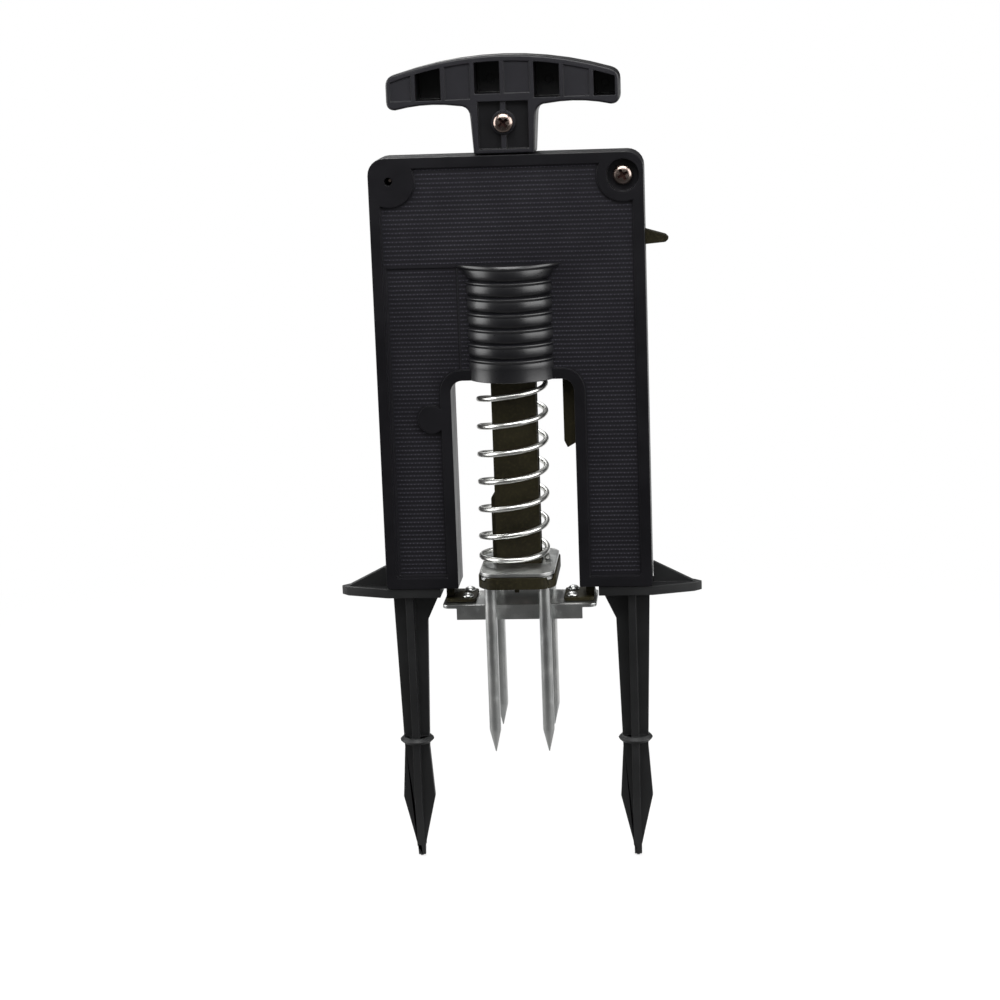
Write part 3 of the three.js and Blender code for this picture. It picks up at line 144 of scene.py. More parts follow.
class Graph:
    """The node tree of a material or a world."""

    def __init__(self, tree: bpy.types.NodeTree) -> None:
        """Takes over a tree and empties it."""
        self.tree = tree
        tree.nodes.clear()

    def add(self, kind: str, settings: Settings = None, sockets: Sockets = None) -> bpy.types.Node:
        """Adds any node.

        Args:
            kind: the node's type.
            settings: its own settings, set first.
            sockets: a value or a Wire for each named or numbered input.

        Returns:
            The new node.
        """
        node = self.tree.nodes.new(kind)
        set_all(node, settings or {})
        for key, value in (sockets or {}).items():
            if isinstance(value, Wire):
                self.tree.links.new(value.socket, node.inputs[key])
            else:
                node.inputs[key].default_value = value
        return node

    def wire(
        self, kind: str, settings: Settings = None, sockets: Sockets = None, output: str | int = 0
    ) -> Wire:
        """Adds any node, as add does, and returns one of its outputs as a Wire."""
        return Wire(self, self.add(kind, settings, sockets).outputs[output])

    def math(self, operation: str, *values: "Wire | float") -> Wire:
        """A Math node's result for its operands, in order."""
        return self.wire("ShaderNodeMath", {"operation": operation}, dict(enumerate(values)))

    def blended(self, share: Wire, first: Wire | Colour, second: Wire | Colour) -> Wire:
        """A colour that goes from the first to the second as share goes from 0 to 1."""
        shades = [c if isinstance(c, Wire) else (*c, 1.0) for c in (first, second)]
        sockets = {0: share, 6: shades[0], 7: shades[1]}
        return self.wire("ShaderNodeMix", {"data_type": "RGBA"}, sockets, 2)

    def coordinates(self, kind: str) -> Wire:
        """Object is the point on the piece, Normal the way it faces, and Generated the world's direction."""
        return self.wire("ShaderNodeTexCoord", None, None, kind)

    def parts(self, vector: Wire) -> tuple[Wire, Wire, Wire]:
        """The X, Y and Z of a vector."""
        node = self.add("ShaderNodeSeparateXYZ", None, {0: vector})
        return tuple(Wire(self, node.outputs[axis]) for axis in range(3))

    def noise(self, grain: float, layers: float, stretch: Point = (1.0, 1.0, 1.0)) -> Wire:
        """Noise from 0 to 1.

        Args:
            grain: the size of its blotches, in metres.
            layers: how many ever finer layers it has.
            stretch: how many times longer the blotches are along each axis.

        Returns:
            The noise.
        """
        scale = tuple(1.0 / (grain * times) for times in stretch)
        sockets = {0: self.coordinates("Object"), 1: scale}
        point = self.wire("ShaderNodeVectorMath", {"operation": "MULTIPLY"}, sockets)
        return self.wire("ShaderNodeTexNoise", None, {"Vector": point, "Scale": 1.0, "Detail": layers})

    def cells(self, size: float) -> Wire:
        """The distance to the nearest of many scattered points, size metres apart, as a share of size."""
        sockets = {"Vector": self.coordinates("Object"), "Scale": 1.0 / size}
        return self.wire("ShaderNodeTexVoronoi", {"feature": "F1"}, sockets, "Distance")


@dataclass(frozen=True)
class Patches:
    """Soft-edged patches of noise: their size in metres, their layers, and the noise from low to high."""

    size: float
    layers: float
    low: float
    high: float
    stretch: Point = (1.0, 1.0, 1.0)

    def on(self, graph: Graph) -> Wire:
        """1 within the patches and 0 between them."""
        return graph.noise(self.size, self.layers, self.stretch).eased(self.low, self.high)


@dataclass(frozen=True)
class Finish:
    """What every finish shares: a name, a colour that drifts between two shades, and a drifting gloss."""

    name: str
    deep: Colour
    light: Colour
    roughness: float
    roughness_drift: float = 0.06
    drift: Patches = Patches(0.02, 4.0, 0.3, 0.7)
    metallic: float = 0.0
    specular: float = 0.5

    def material(self) -> bpy.types.Material:
        """Builds the node material.

        Returns:
            The material, ready to be given to a piece.
        """
        material = bpy.data.materials.new(self.name)
        material.use_nodes = True
        graph = Graph(material.node_tree)
        colour, gloss, height = self.surface(graph)
        bump = graph.wire("ShaderNodeBump", None, {"Height": height, "Distance": MM, "Strength": 1.0})
        sockets = {"Base Color": colour, "Roughness": gloss, "Metallic": self.metallic, "Normal": bump}
        sockets["Specular IOR Level"] = self.specular
        shader = graph.wire("ShaderNodeBsdfPrincipled", None, sockets)
        graph.add("ShaderNodeOutputMaterial", None, {"Surface": shader})
        return material

    def surface(self, graph: Graph) -> tuple[Wire, Wire, Wire]:
        """The colour, the roughness, and the height of the relief in millimetres, over a surface."""
        raise NotImplementedError

    def drifting(self, graph: Graph) -> tuple[Wire, Wire]:
        """The drifting colour and roughness that a finish starts from."""
        drift = self.drift.on(graph)
        return graph.blended(drift, self.deep, self.light), drift * self.roughness_drift + self.roughness


@dataclass(frozen=True)
class MouldedPlastic(Finish):
    """Injection-moulded plastic with a spark-eroded grain, fine scuffs and a few rubbed patches."""

    grain: float = 0.0005
    grain_depth: float = 0.012
    scuffs: Patches = Patches(0.0006, 2.0, 0.62, 0.75, (30.0, 1.0, 1.5))
    scuff_gloss: float = 0.07
    scuff_depth: float = 0.003
    mottle: float = 0.0
    speckles: Patches = Patches(0.0012, 4.0, 0.45, 0.75)
    mottle_roughness: float = 0.1
    speckle_gain: float = 2.4

    def surface(self, graph: Graph) -> tuple[Wire, Wire, Wire]:
        """The grain, mottle and scuffs over the drifting colour, as Finish.surface says."""
        colour, gloss = self.drifting(graph)
        grain = graph.noise(self.grain, FEW_LAYERS)
        scuff = self.scuffs.on(graph)
        gloss = gloss - scuff * self.scuff_gloss
        if self.mottle:
            speckle = self.speckles.on(graph)
            fibres = tuple(self.speckle_gain * shade for shade in self.light)
            colour = graph.blended(speckle * self.mottle, colour, fibres)
            gloss = gloss + speckle * self.mottle_roughness
        return colour, gloss, grain * self.grain_depth - scuff * self.scuff_depth


@dataclass(frozen=True)
class PanelledPlastic(MouldedPlastic):
    """Dark rims round paler, duller faces, which lie between panel_low and panel_high mm from y = 0. The
    paler colour of the faces is painted light: rims and faces are one plastic, and the faces are painted
    lighter for the light that their fine texture catches.
    """

    # panel: the sunk faces' colour, painted light; paler than the rims to stand in for the top light that
    # their texture catches.
    panel: Colour = (0.0072, 0.0068, 0.0092)
    panel_low: float = 7.2
    panel_high: float = 9.2
    panel_roughness: float = 0.08
    facing_range: Pair = (0.85, 0.95)
    worn: Patches = Patches(0.02, 2.0, 0.3, 0.6)
    wear: float = 0.15

    def surface(self, graph: Graph) -> tuple[Wire, Wire, Wire]:
        """The sunk faces, paler with painted light, over the moulded surface, as Finish.surface says."""
        colour, gloss, height = super().surface(graph)
        away = abs(graph.parts(graph.coordinates("Object"))[1] * MM_PER_METRE)
        flat = abs(graph.parts(graph.coordinates("Normal"))[1]).eased(*self.facing_range)
        # panel masks the sunk faces that get the painted light, which the worn patches fade a little.
        panel = flat * away.over(self.panel_low) * away.under(self.panel_high)
        worn = self.worn.on(graph) * self.wear + (1.0 - self.wear)
        return graph.blended(panel * worn, colour, self.panel), gloss + panel * self.panel_roughness, height


@dataclass(frozen=True)
class DrawnSteel(Finish):
    """Plated steel: bright, with fine drawing lines, plating blotches and small pits."""

    line_size: float = 0.00025
    line_depth: float = 0.004
    line_stretch: Point = (1.0, 1.0, 40.0)
    pit_size: float = 0.0011
    pit_reach: float = 0.16
    pit_cover: float = 0.35
    pit_shade: float = 0.45
    pit_roughness: float = 0.2
    pit_depth: float = 0.006
    blotches: Patches = Patches(0.004, 3.0, 0.5, 0.75)
    blotch_roughness: float = 0.12

    def surface(self, graph: Graph) -> tuple[Wire, Wire, Wire]:
        """The drawing lines and pits over the drifting plating, as Finish.surface says."""
        colour, gloss = self.drifting(graph)
        lines = graph.noise(self.line_size, FEW_LAYERS, self.line_stretch)
        pits = graph.cells(self.pit_size).under(self.pit_reach)
        dulled = self.blotches.on(graph)
        pitted = tuple(self.pit_shade * part for part in self.deep)
        colour = graph.blended(pits * self.pit_cover, colour, pitted)
        gloss = gloss + dulled * self.blotch_roughness + pits * self.pit_roughness
        return colour, gloss, lines * self.line_depth - pits * self.pit_depth


# The panel colour in both shell finishes is painted light on the sunk faces.
SHELL = PanelledPlastic("shell_plastic", (0.0044, 0.0042, 0.0054), (0.0066, 0.0063, 0.008), 0.34,
                        specular=0.33)
HANDLE = PanelledPlastic("handle_plastic", (0.0052, 0.0051, 0.006), (0.008, 0.0078, 0.009), 0.32,
                         specular=0.4, panel=(0.0115, 0.0111, 0.0142))
# The ribs and pips are the same plastic as the panel; their lighter colours are painted highlights for the
# light that their tops catch.
RIB_HIGHLIGHT = MouldedPlastic("rib_painted_highlight", (0.0158, 0.015, 0.02), (0.0202, 0.0192, 0.0256), 0.42, specular=0.35)
PIP_HIGHLIGHT = MouldedPlastic("pip_painted_highlight", (0.034, 0.0324, 0.042), (0.046, 0.044, 0.056), 0.4, specular=0.4)
BARREL = MouldedPlastic("barrel_plastic", (0.0036, 0.0036, 0.0048), (0.0055, 0.0055, 0.007), 0.3,
                        specular=0.75)
MECHANISM = MouldedPlastic("mechanism_plastic", (0.0095, 0.0078, 0.0028), (0.017, 0.0142, 0.005), 0.52,
                           specular=0.2, mottle=0.4, grain_depth=0.03)
STAKE = MouldedPlastic("stake_plastic", (0.0065, 0.0068, 0.0072), (0.0105, 0.011, 0.0115), 0.46,
                       grain_depth=0.02)
BUSH = MouldedPlastic("bush_plastic", (0.03, 0.03, 0.033), (0.045, 0.045, 0.048), 0.3, grain_depth=0.004)
SPRING = DrawnSteel("spring_steel", (0.78, 0.785, 0.75), (0.9, 0.9, 0.87), 0.27, metallic=1.0,
                    line_depth=0.0015, line_stretch=(6.0, 6.0, 1.0))
ZINC = DrawnSteel("zinc_steel", (0.55, 0.565, 0.56), (0.7, 0.705, 0.69), 0.3, metallic=1.0)
SCREW = DrawnSteel("screw_steel", (0.31, 0.235, 0.2), (0.45, 0.37, 0.335), 0.2, metallic=1.0,
                   pit_size=0.0007)
# The recess finish is painted shade: near-black walls for the shadow that falls in a screw's cross recess.
RECESS_SHADE = DrawnSteel("recess_painted_shade", (0.03, 0.012, 0.01), (0.07, 0.03, 0.025), 0.5, metallic=0.6,
                    pit_size=0.0005)


def polar(radius: float, angle: float) -> Pair:
    """The two coordinates of a point on a circle."""
    return radius * math.cos(angle), radius * math.sin(angle)


def to_middle(low: Vector, high: Vector) -> Matrix:
    """The shift from the Z axis to the upright line through the middle of a box."""
    return Matrix.Translation(((low.x + high.x) / 2.0, (low.y + high.y) / 2.0, 0.0))


def shade_gently(mesh: bpy.types.Mesh) -> None:
    """Shades a mesh smoothly, with a crease wherever its faces meet at more than SMOOTH_ANGLE."""
    mesh.shade_smooth()
    mesh.set_sharp_from_angle(angle=SMOOTH_ANGLE)


def piece_from(name: str, corners: Iterable[Point], faces: Iterable[Sequence[int]]) -> Piece:
    """Makes a piece from corners and faces, smooth where its faces meet gently.

    Args:
        name: the piece's name.
        corners: its corners, in metres in the row frame.
        faces: its faces, as numbers of corners.

    Returns:
        The new object, linked to the scene.
    """
    mesh = bpy.data.meshes.new(name)
    mesh.from_pydata(list(corners), [], list(faces))
    tidy = bmesh.new()
    tidy.from_mesh(mesh)
    bmesh.ops.recalc_face_normals(tidy, faces=tidy.faces)
    tidy.to_mesh(mesh)
    tidy.free()
    shade_gently(mesh)
    piece = bpy.data.objects.new(name, mesh)
    bpy.context.scene.collection.objects.link(piece)
    return piece


def turned(name: str, profile: Outline, sides: int) -> Piece:
    """Turns a profile round the Z axis.

    Args:
        name: the piece's name.
        profile: (radius, height) pairs, both ends on the axis.
        sides: how many steps make the turn.

    Returns:
        The new object.
    """
    corners: list[Point] = [(0.0, 0.0, profile[0][1])]
    for radius, height in profile[1:-1]:
        for step in range(sides):
            corners.append((*polar(radius, 2.0 * math.pi * step / sides), height))
    corners.append((0.0, 0.0, profile[-1][1]))
    rings = len(profile) - 2
    faces: Faces = []
    for step in range(sides):
        after = (step + 1) % sides
        faces.append((0, 1 + after, 1 + step))
        for ring in range(rings - 1):
            low, high = 1 + ring * sides, 1 + (ring + 1) * sides
            faces.append((low + step, low + after, high + after, high + step))
        last = 1 + (rings - 1) * sides
        faces.append((last + step, last + after, len(corners) - 1))
    return piece_from(name, corners, faces)


def tube_faces(rings: int, sides: int) -> Faces:
    """The faces of a tube with a flat face at each end.

    Args:
        rings: how many rings of corners it has, numbered ring by ring.
        sides: how many corners each ring has.

    Returns:
        Its two ends, then its sides.
    """
    faces: Faces = [tuple(range(sides)), tuple(range((rings - 1) * sides, rings * sides))]
    for ring in range(rings - 1):
        low, high = ring * sides, (ring + 1) * sides
        for step in range(sides):
            after = (step + 1) % sides
            faces.append((low + step, low + after, high + after, high + step))
    return faces


def wire_along(name: str, path: Sequence[Vector], radius: float, sides: int) -> Piece:
    """Sweeps a round wire along a path, with chamfered ends.

    Args:
        name: the piece's name.
        path: the wire's centre line.
        radius: half the wire's thickness.
        sides: how many steps go round the wire.

    Returns:
        The new object.
    """
    end_length_share, end_width_share = 0.35, 0.7
    first = (path[0] - path[1]).normalized() * radius * end_length_share
    last = (path[-1] - path[-2]).normalized() * radius * end_length_share
    line = [path[0] + first, *path, path[-1] + last]
    widths = [radius * end_width_share, *[radius] * len(path), radius * end_width_share]
    across: Vector | None = None
    corners: list[Vector] = []
    for index, point in enumerate(line):
        along = (line[min(index + 1, len(line) - 1)] - line[max(index - 1, 0)]).normalized()
        if across is None:
            across = along.orthogonal()
        across = (across - along * across.dot(along)).normalized()
        up = along.cross(across)
        for step in range(sides):
            angle = 2.0 * math.pi * step / sides
            corners.append(point + (across * math.cos(angle) + up * math.sin(angle)) * widths[index])
    return piece_from(name, [tuple(corner) for corner in corners], tube_faces(len(line), sides))


def block_piece(name: str, low: Point, high: Point, taper: float) -> Piece:
    """A block whose lower end is drawn in by a taper, used as a cutter.

    Args:
        name: the piece's name.
        low: its lowest corner.
        high: its highest corner.
        taper: how far each side leans in at the lower end.

    Returns:
        The new object.
    """
    corners = []
    for z, inset in ((low[2], taper), (high[2], 0.0)):
        left, right = low[0] + inset, high[0] - inset
        near, far = low[1] + inset, high[1] - inset
        corners += [(left, near, z), (right, near, z), (right, far, z), (left, far, z)]
    return piece_from(name, corners, BLOCK_FACES)


def carve(piece: Piece, cutters: Sequence[Piece]) -> None:
    """Cuts the cutters out of a piece and removes them.

    Args:
        piece: the piece to cut.
        cutters: what is cut out of it.
    """
    for cutter in cutters:
        modify(piece, "BOOLEAN", operation="DIFFERENCE", solver="EXACT", object=cutter)
    bpy.context.view_layer.update()
    shaped = piece.evaluated_get(bpy.context.evaluated_depsgraph_get())
    mesh = bpy.data.meshes.new_from_object(shaped)
    piece.modifiers.clear()
    piece.data = mesh
    shade_gently(mesh)
    for cutter in cutters:
        bpy.data.objects.remove(cutter)


class Wardrobe:
    """Hands out each finish's material, made once, and rounds the edges of CAD nodes."""

    weld_distance = 2e-6
    flat_angle = math.radians(0.5)
    edge_angle = math.radians(38.0)
    gentle_angle = math.radians(32.0)
    rounding_steps = 2
    large_face_weight = 90

    def __init__(self) -> None:
        """Starts with no material made."""
        self.made: dict[str, bpy.types.Material] = {}
        self.shading = self._shading_group()

    def material(self, finish: Finish) -> bpy.types.Material:
        """The material of a finish."""
        if finish.name not in self.made:
            self.made[finish.name] = finish.material()
        return self.made[finish.name]

    def paint(self, piece: Piece, *finishes: Finish) -> None:
        """Gives a piece one finish for the whole of it, or one for each slot that its faces use."""
        slots = [face.material_index for face in piece.data.polygons]
        piece.data.materials.clear()
        for finish in finishes:
            piece.data.materials.append(self.material(finish))
        if len(finishes) > 1:
            piece.data.polygons.foreach_set("material_index", slots)

    def dress_node(self, node: str, finish: Finish, rounding: float) -> None:
        """Finishes a CAD node in place and rounds its edges.

        Args:
            node: the node's name.
            finish: its finish.
            rounding: how wide its rounded edges are, in metres.
        """
        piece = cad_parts[node]
        self.paint(piece, finish)
        modify(piece, "WELD", merge_threshold=self.weld_distance)
        modify(piece, "DECIMATE", decimate_type="DISSOLVE", angle_limit=self.flat_angle)
        edges = {"limit_method": "ANGLE", "angle_limit": self.edge_angle, "segments": self.rounding_steps}
        modify(piece, "BEVEL", **edges, width=rounding, use_clamp_overlap=False, loop_slide=False)
        modify(piece, "NODES", node_group=self.shading)
        modify(piece, "WEIGHTED_NORMAL", mode="FACE_AREA", weight=self.large_face_weight, keep_sharp=True)
        log.info("%s dressed in %s", node, finish.name)

    def _shading_group(self) -> bpy.types.NodeTree:
        """A modifier group that drops stored normals and shades smoothly wherever faces meet gently.

        Returns:
            The group.
        """
        group = bpy.data.node_groups.new("shade_gently", "GeometryNodeTree")
        for way in ("INPUT", "OUTPUT"):
            group.interface.new_socket("Geometry", in_out=way, socket_type="NodeSocketGeometry")
        graph = Graph(group)
        sockets = {0: graph.wire("NodeGroupInput"), "Name": "custom_normal"}
        plain = graph.wire("GeometryNodeRemoveAttribute", None, sockets)
        smooth = graph.wire("GeometryNodeSetShadeSmooth", {"domain": "FACE"}, {"Geometry": plain})
        bend = graph.wire("GeometryNodeInputMeshEdgeAngle", None, None, "Unsigned Angle")
        sockets = {0: bend, 1: self.gentle_angle}
        gentle = graph.wire("FunctionNodeCompare", {"operation": "LESS_THAN"}, sockets)
        sockets = {"Geometry": smooth, "Shade Smooth": gentle}
        creased = graph.wire("GeometryNodeSetShadeSmooth", {"domain": "EDGE"}, sockets)
        graph.add("NodeGroupOutput", None, {0: creased})
        return group

    def settle(
        self, piece: Piece, finish: Finish | tuple[Finish, ...], slot: str, body: Body, stands_for: str = ""
    ) -> None:
        """Finishes a new piece and fixes it to its body.

        Args:
            piece: the piece, in place.
            finish: its finish, or one for each slot that its faces use.
            slot: the record's material slot; not used.
            body: the body that it rides on.
            stands_for: the CAD node that it replaces, if any.
        """
        self.paint(piece, *(finish if isinstance(finish, tuple) else (finish,)))
        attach(piece, body.value)
        if stands_for:
            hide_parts(stands_for)
        log.info("%s rides on %s", piece.name, body.value)


@dataclass
class PanScrew:
    """A pan-head screw with a cross recess, made on the Z axis with its head's underside on z = 0."""

    shank_radius: float = 2.0 * MM
    head_radius: float = 4.1 * MM
    head_height: float = 2.4 * MM
    wall_share: float = 0.35
    recess_reach: float = 2.5 * MM
    recess_width: float = 1.45 * MM
    pit_radius: float = 1.6 * MM
    recess_depth: float = 1.6 * MM
    recess_taper: float = 0.28 * MM
    pit_tip_radius: float = 0.3 * MM
    pit_tip_drops: Pair = (0.5 * MM, 0.4 * MM)
    pit_sides: int = 16
    tip_share: float = 0.3
    plain_length: float = 3.0 * MM
    thread_start: float = 1.4 * MM
    thread_pitch: float = 1.4 * MM
    thread_depth: float = 0.35 * MM
    crest_share: float = 0.45
    thread_share: float = 0.9
    edge: float = 0.12 * MM
    sides: int = 48
    dome_steps: int = 10
    dome_power: float = 0.8
    overrun: float = 1.0 * MM
    skin: float = 0.15 * MM
    painted_reach_share: float = 0.75

    def build(self, name: str, length: float) -> Piece:
        """Makes a screw.

        Args:
            name: the screw's name.
            length: how long its shank is.

        Returns:
            The screw, standing on the Z axis.
        """
        profile: Outline = [(0.0, -length), (self.tip_share * self.shank_radius, -length)]
        core = self.shank_radius - self.thread_depth
        for turn in range(int((length - self.plain_length) / self.thread_pitch)):
            low = -length + self.thread_start + turn * self.thread_pitch
            profile += [(core, low), (self.shank_radius, low + self.crest_share * self.thread_pitch)]
            profile.append((core, low + self.thread_share * self.thread_pitch))
        profile += [(core, 0.0), (self.head_radius - self.edge, 0.0), (self.head_radius, self.edge)]
        wall = self.wall_share * self.head_height
        profile.append((self.head_radius, wall - self.edge))
        for step in range(self.dome_steps):
            angle = 0.5 * math.pi * step / self.dome_steps
            reach = self.head_radius * math.cos(angle) ** self.dome_power
            profile.append((reach, wall + (self.head_height - wall) * math.sin(angle)))
        profile.append((0.0, self.head_height))
        screw = turned(name, profile, self.sides)
        carve(screw, self._recess(name))
        # Faces deep in the recess take slot 1, the painted shade.
        for face in screw.data.polygons:
            face.material_index = int(self._in_recess(face.center))
        return screw

    def _in_recess(self, place: Vector) -> bool:
        """Whether a point lies well under the dome of the head, so on a wall of the recess."""
        reach = min(math.hypot(place.x, place.y) / self.head_radius, 1.0)
        wall = self.wall_share * self.head_height
        dome = wall + (self.head_height - wall) * math.sqrt(1.0 - reach ** (2.0 / self.dome_power))
        low = self.head_height - self.recess_depth - self.overrun
        return reach < self.painted_reach_share and low < place.z < dome - self.skin

    def _recess(self, name: str) -> list[Piece]:
        """The cutters for the cross recess: two tapered bars and the pit between them."""
        low, high = self.head_height - self.recess_depth, self.head_height + self.overrun
        reach, half = self.recess_reach, self.recess_width / 2.0
        bars = [
            block_piece(name + "_bar_x", (-reach, -half, low), (reach, half, high), self.recess_taper),
            block_piece(name + "_bar_y", (-half, -reach, low), (half, reach, high), self.recess_taper),
        ]
        tip, shoulder = (low - drop for drop in self.pit_tip_drops)
        pit: Outline = [(0.0, tip), (self.pit_tip_radius, shoulder), (self.pit_radius, high), (0.0, high)]
        return [*bars, turned(name + "_pit", pit, self.pit_sides)]

    def replace(self, wardrobe: Wardrobe, node: str, facing: Facing, body: Body, turn: float) -> None:
        """Puts a detailed screw where a CAD screw is.

        Args:
            wardrobe: where its material comes from.
            node: the CAD screw's name.
            facing: where its head looks.
            body: the body that it rides on.
            turn: how far its recess is turned, in degrees.
        """
        low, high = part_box(node)
        middle = (low + high) / 2.0
        span = high.z - low.z if facing is Facing.DOWN else high.y - low.y
        seat, tilt = {
            Facing.FRONT: ((middle.x, low.y + self.head_height, middle.z), QUARTER_TURN),
            Facing.REAR: ((middle.x, high.y - self.head_height, middle.z), -QUARTER_TURN),
            Facing.DOWN: ((middle.x, middle.y, low.z + self.head_height), math.pi),
        }[facing]
        screw = self.build(node + "_detail", span - self.head_height)
        place = Matrix.Translation(seat) @ Matrix.Rotation(tilt, 4, "X")
        screw.data.transform(place @ Matrix.Rotation(math.radians(turn), 4, "Z"))
        wardrobe.settle(screw, (SCREW, RECESS_SHADE), "screw_steel", body, node)


Nodes = tuple[tuple[str, Finish, float], ...]
Screws = tuple[tuple[str, Facing, float], ...]


@dataclass
class Assembly:
    """Pieces that belong together.

    nodes has the finish and the width of the rounded edges of each CAD node that it dresses. screws has the
    CAD screws that it replaces, where their heads look and how far their recesses are turned, in degrees.
    """

    wardrobe: Wardrobe
    body: Body = Body.FRAME
    nodes: Nodes = ()
    screws: Screws = ()
    screw: PanScrew = field(default_factory=PanScrew)

    def build(self) -> None:
        """Dresses the CAD nodes."""
        for node, finish, rounding in self.nodes:
            self.wardrobe.dress_node(node, finish, rounding)

    def fasten(self) -> None:
        """Replaces the CAD screws."""
        for node, facing, turn in self.screws:
            self.screw.replace(self.wardrobe, node, facing, self.body, turn)


@dataclass
class Housing(Assembly):
    """The two shells with their spring barrel, the bush and seat inside them, and their screws."""

    nodes: Nodes = (
        ("front_shell", SHELL, 0.3 * MM),
        ("rear_shell", SHELL, 0.3 * MM),
        ("plunger_bush", BUSH, 0.2 * MM),
        ("spring_seat", ZINC, 0.15 * MM),
    )
    screws: Screws = (
        ("shell_screw_top_right", Facing.FRONT, 28.0),
        ("shell_screw_top_left", Facing.REAR, 64.0),
        ("shell_screw_lower_left", Facing.REAR, 12.0),
        ("shell_screw_lower_right", Facing.REAR, 47.0),
        ("stake_screw_left", Facing.REAR, 80.0),
        ("stake_screw_right", Facing.REAR, 33.0),
    )
    barrel_radius: float = 20.1 * MM
    barrel_low: float = 94.4 * MM
    barrel_height: float = 48.6 * MM
    panel_face: float = 7.6 * MM
    flare: float = 5.2 * MM
    flare_height: float = 6.0 * MM
    band_count: int = 7
    lowest_band_share: float = 1.5
    lowest_band_start: float = 0.2
    band_profile: tuple[Pair, ...] = (
        (0.0, 1.7), (0.07, 1.25), (0.12, 0.9), (0.17, 0.6), (0.24, 0.45), (0.34, 0.38), (0.5, 0.36),
        (0.62, 0.42), (0.68, 0.5), (0.72, 0.54), (0.76, 0.44), (0.81, 0.12), (0.86, 0.0), (0.91, 0.1),
        (0.95, 0.5), (0.98, 1.2),
    )
    foot_inset: float = 0.5 * MM
    foot_step: float = 0.2 * MM
    foot_height: float = 0.3 * MM
    top_inset: float = 0.45 * MM
    skin: float = 0.4 * MM
    steps: int = 48

    def build(self) -> None:
        """Dresses the shells, then adds their barrel sleeves and screws."""
        super().build()
        for side, name in SIDES:
            sleeve = self._sleeve(f"barrel_sleeve_{name}", side)
            self.wardrobe.settle(sleeve, BARREL, "shell_plastic", self.body)
        self.fasten()

    def _outer_profile(self) -> Outline:
        """The barrel's bands from the bottom up: each has a body, a bead above it and a groove under it."""
        band = self.barrel_height / (self.band_count - 1 + self.lowest_band_share)
        widest, low = self.barrel_radius, self.barrel_low
        profile = [(widest - self.foot_inset, low), (widest - self.foot_step, low + self.foot_height)]
        for number in range(self.band_count):
            height = band * (1.0 if number else self.lowest_band_share)
            for share, inset in self.band_profile:
                if number or share > self.lowest_band_start:
                    profile.append((widest - inset * MM, low + (height - band) + band * share))
            low += height
        return [*profile[:-2], (widest - self.top_inset, low)]

    def _flare_at(self, y: float, height: float) -> float:
        """How far the top of the barrel spreads sideways to meet the panel.

        Args:
            y: the distance from the middle plane.
            height: the height of the point.

        Returns:
            The spread, which is greatest at the panel and at the top.
        """
        up = (height - self.barrel_low - self.barrel_height + self.flare_height) / self.flare_height
        near = (self.barrel_radius - y) / (self.barrel_radius - self.panel_face)
        return self.flare * max(up, 0.0) ** 2 * min(max(near, 0.0), 1.0) ** 2

    def _sleeve(self, name: str, side: int) -> Piece:
        """The round, ribbed skin of one half of the spring barrel.

        Args:
            name: the piece's name.
            side: -1 for the front half and 1 for the rear one.

        Returns:
            The sleeve, closed along its inside.
        """
        start = math.asin(self.panel_face / self.barrel_radius)
        outer = self._outer_profile()
        inner_radius = self.barrel_radius - self.band_profile[0][1] * MM - self.skin
        profile = [*outer, (inner_radius, outer[-1][1]), (inner_radius, outer[0][1])]
        corners: list[Point] = []
        for step in range(self.steps + 1):
            angle = start + (math.pi - 2.0 * start) * step / self.steps
            for number, (radius, height) in enumerate(profile):
                x, y = polar(radius, angle)
                if number < len(outer):
                    x += math.copysign(self._flare_at(y, height), x)
                corners.append((x, side * y, height))
        return piece_from(name, corners, tube_faces(self.steps + 1, len(profile)))


@dataclass
class Relief:
    """The relief of one side, -1 for the front or 1 for the rear, with the finish slot of each face."""

    side: int
    corners: list[Point] = field(default_factory=list)
    faces: Faces = field(default_factory=list)
    slots: list[int] = field(default_factory=list)

    def add(self, corners: Iterable[Point], faces: Sequence[Sequence[int]], slots: Sequence[int]) -> None:
        """Adds one form.

        Args:
            corners: its corners, with the distance from the middle plane as Y.
            faces: its faces, as numbers of its own corners.
            slots: the finish of each face.
        """
        first = len(self.corners)
        self.corners += [(x, self.side * y, z) for x, y, z in corners]
        self.faces += [tuple(first + corner for corner in face) for face in faces]
        self.slots += slots


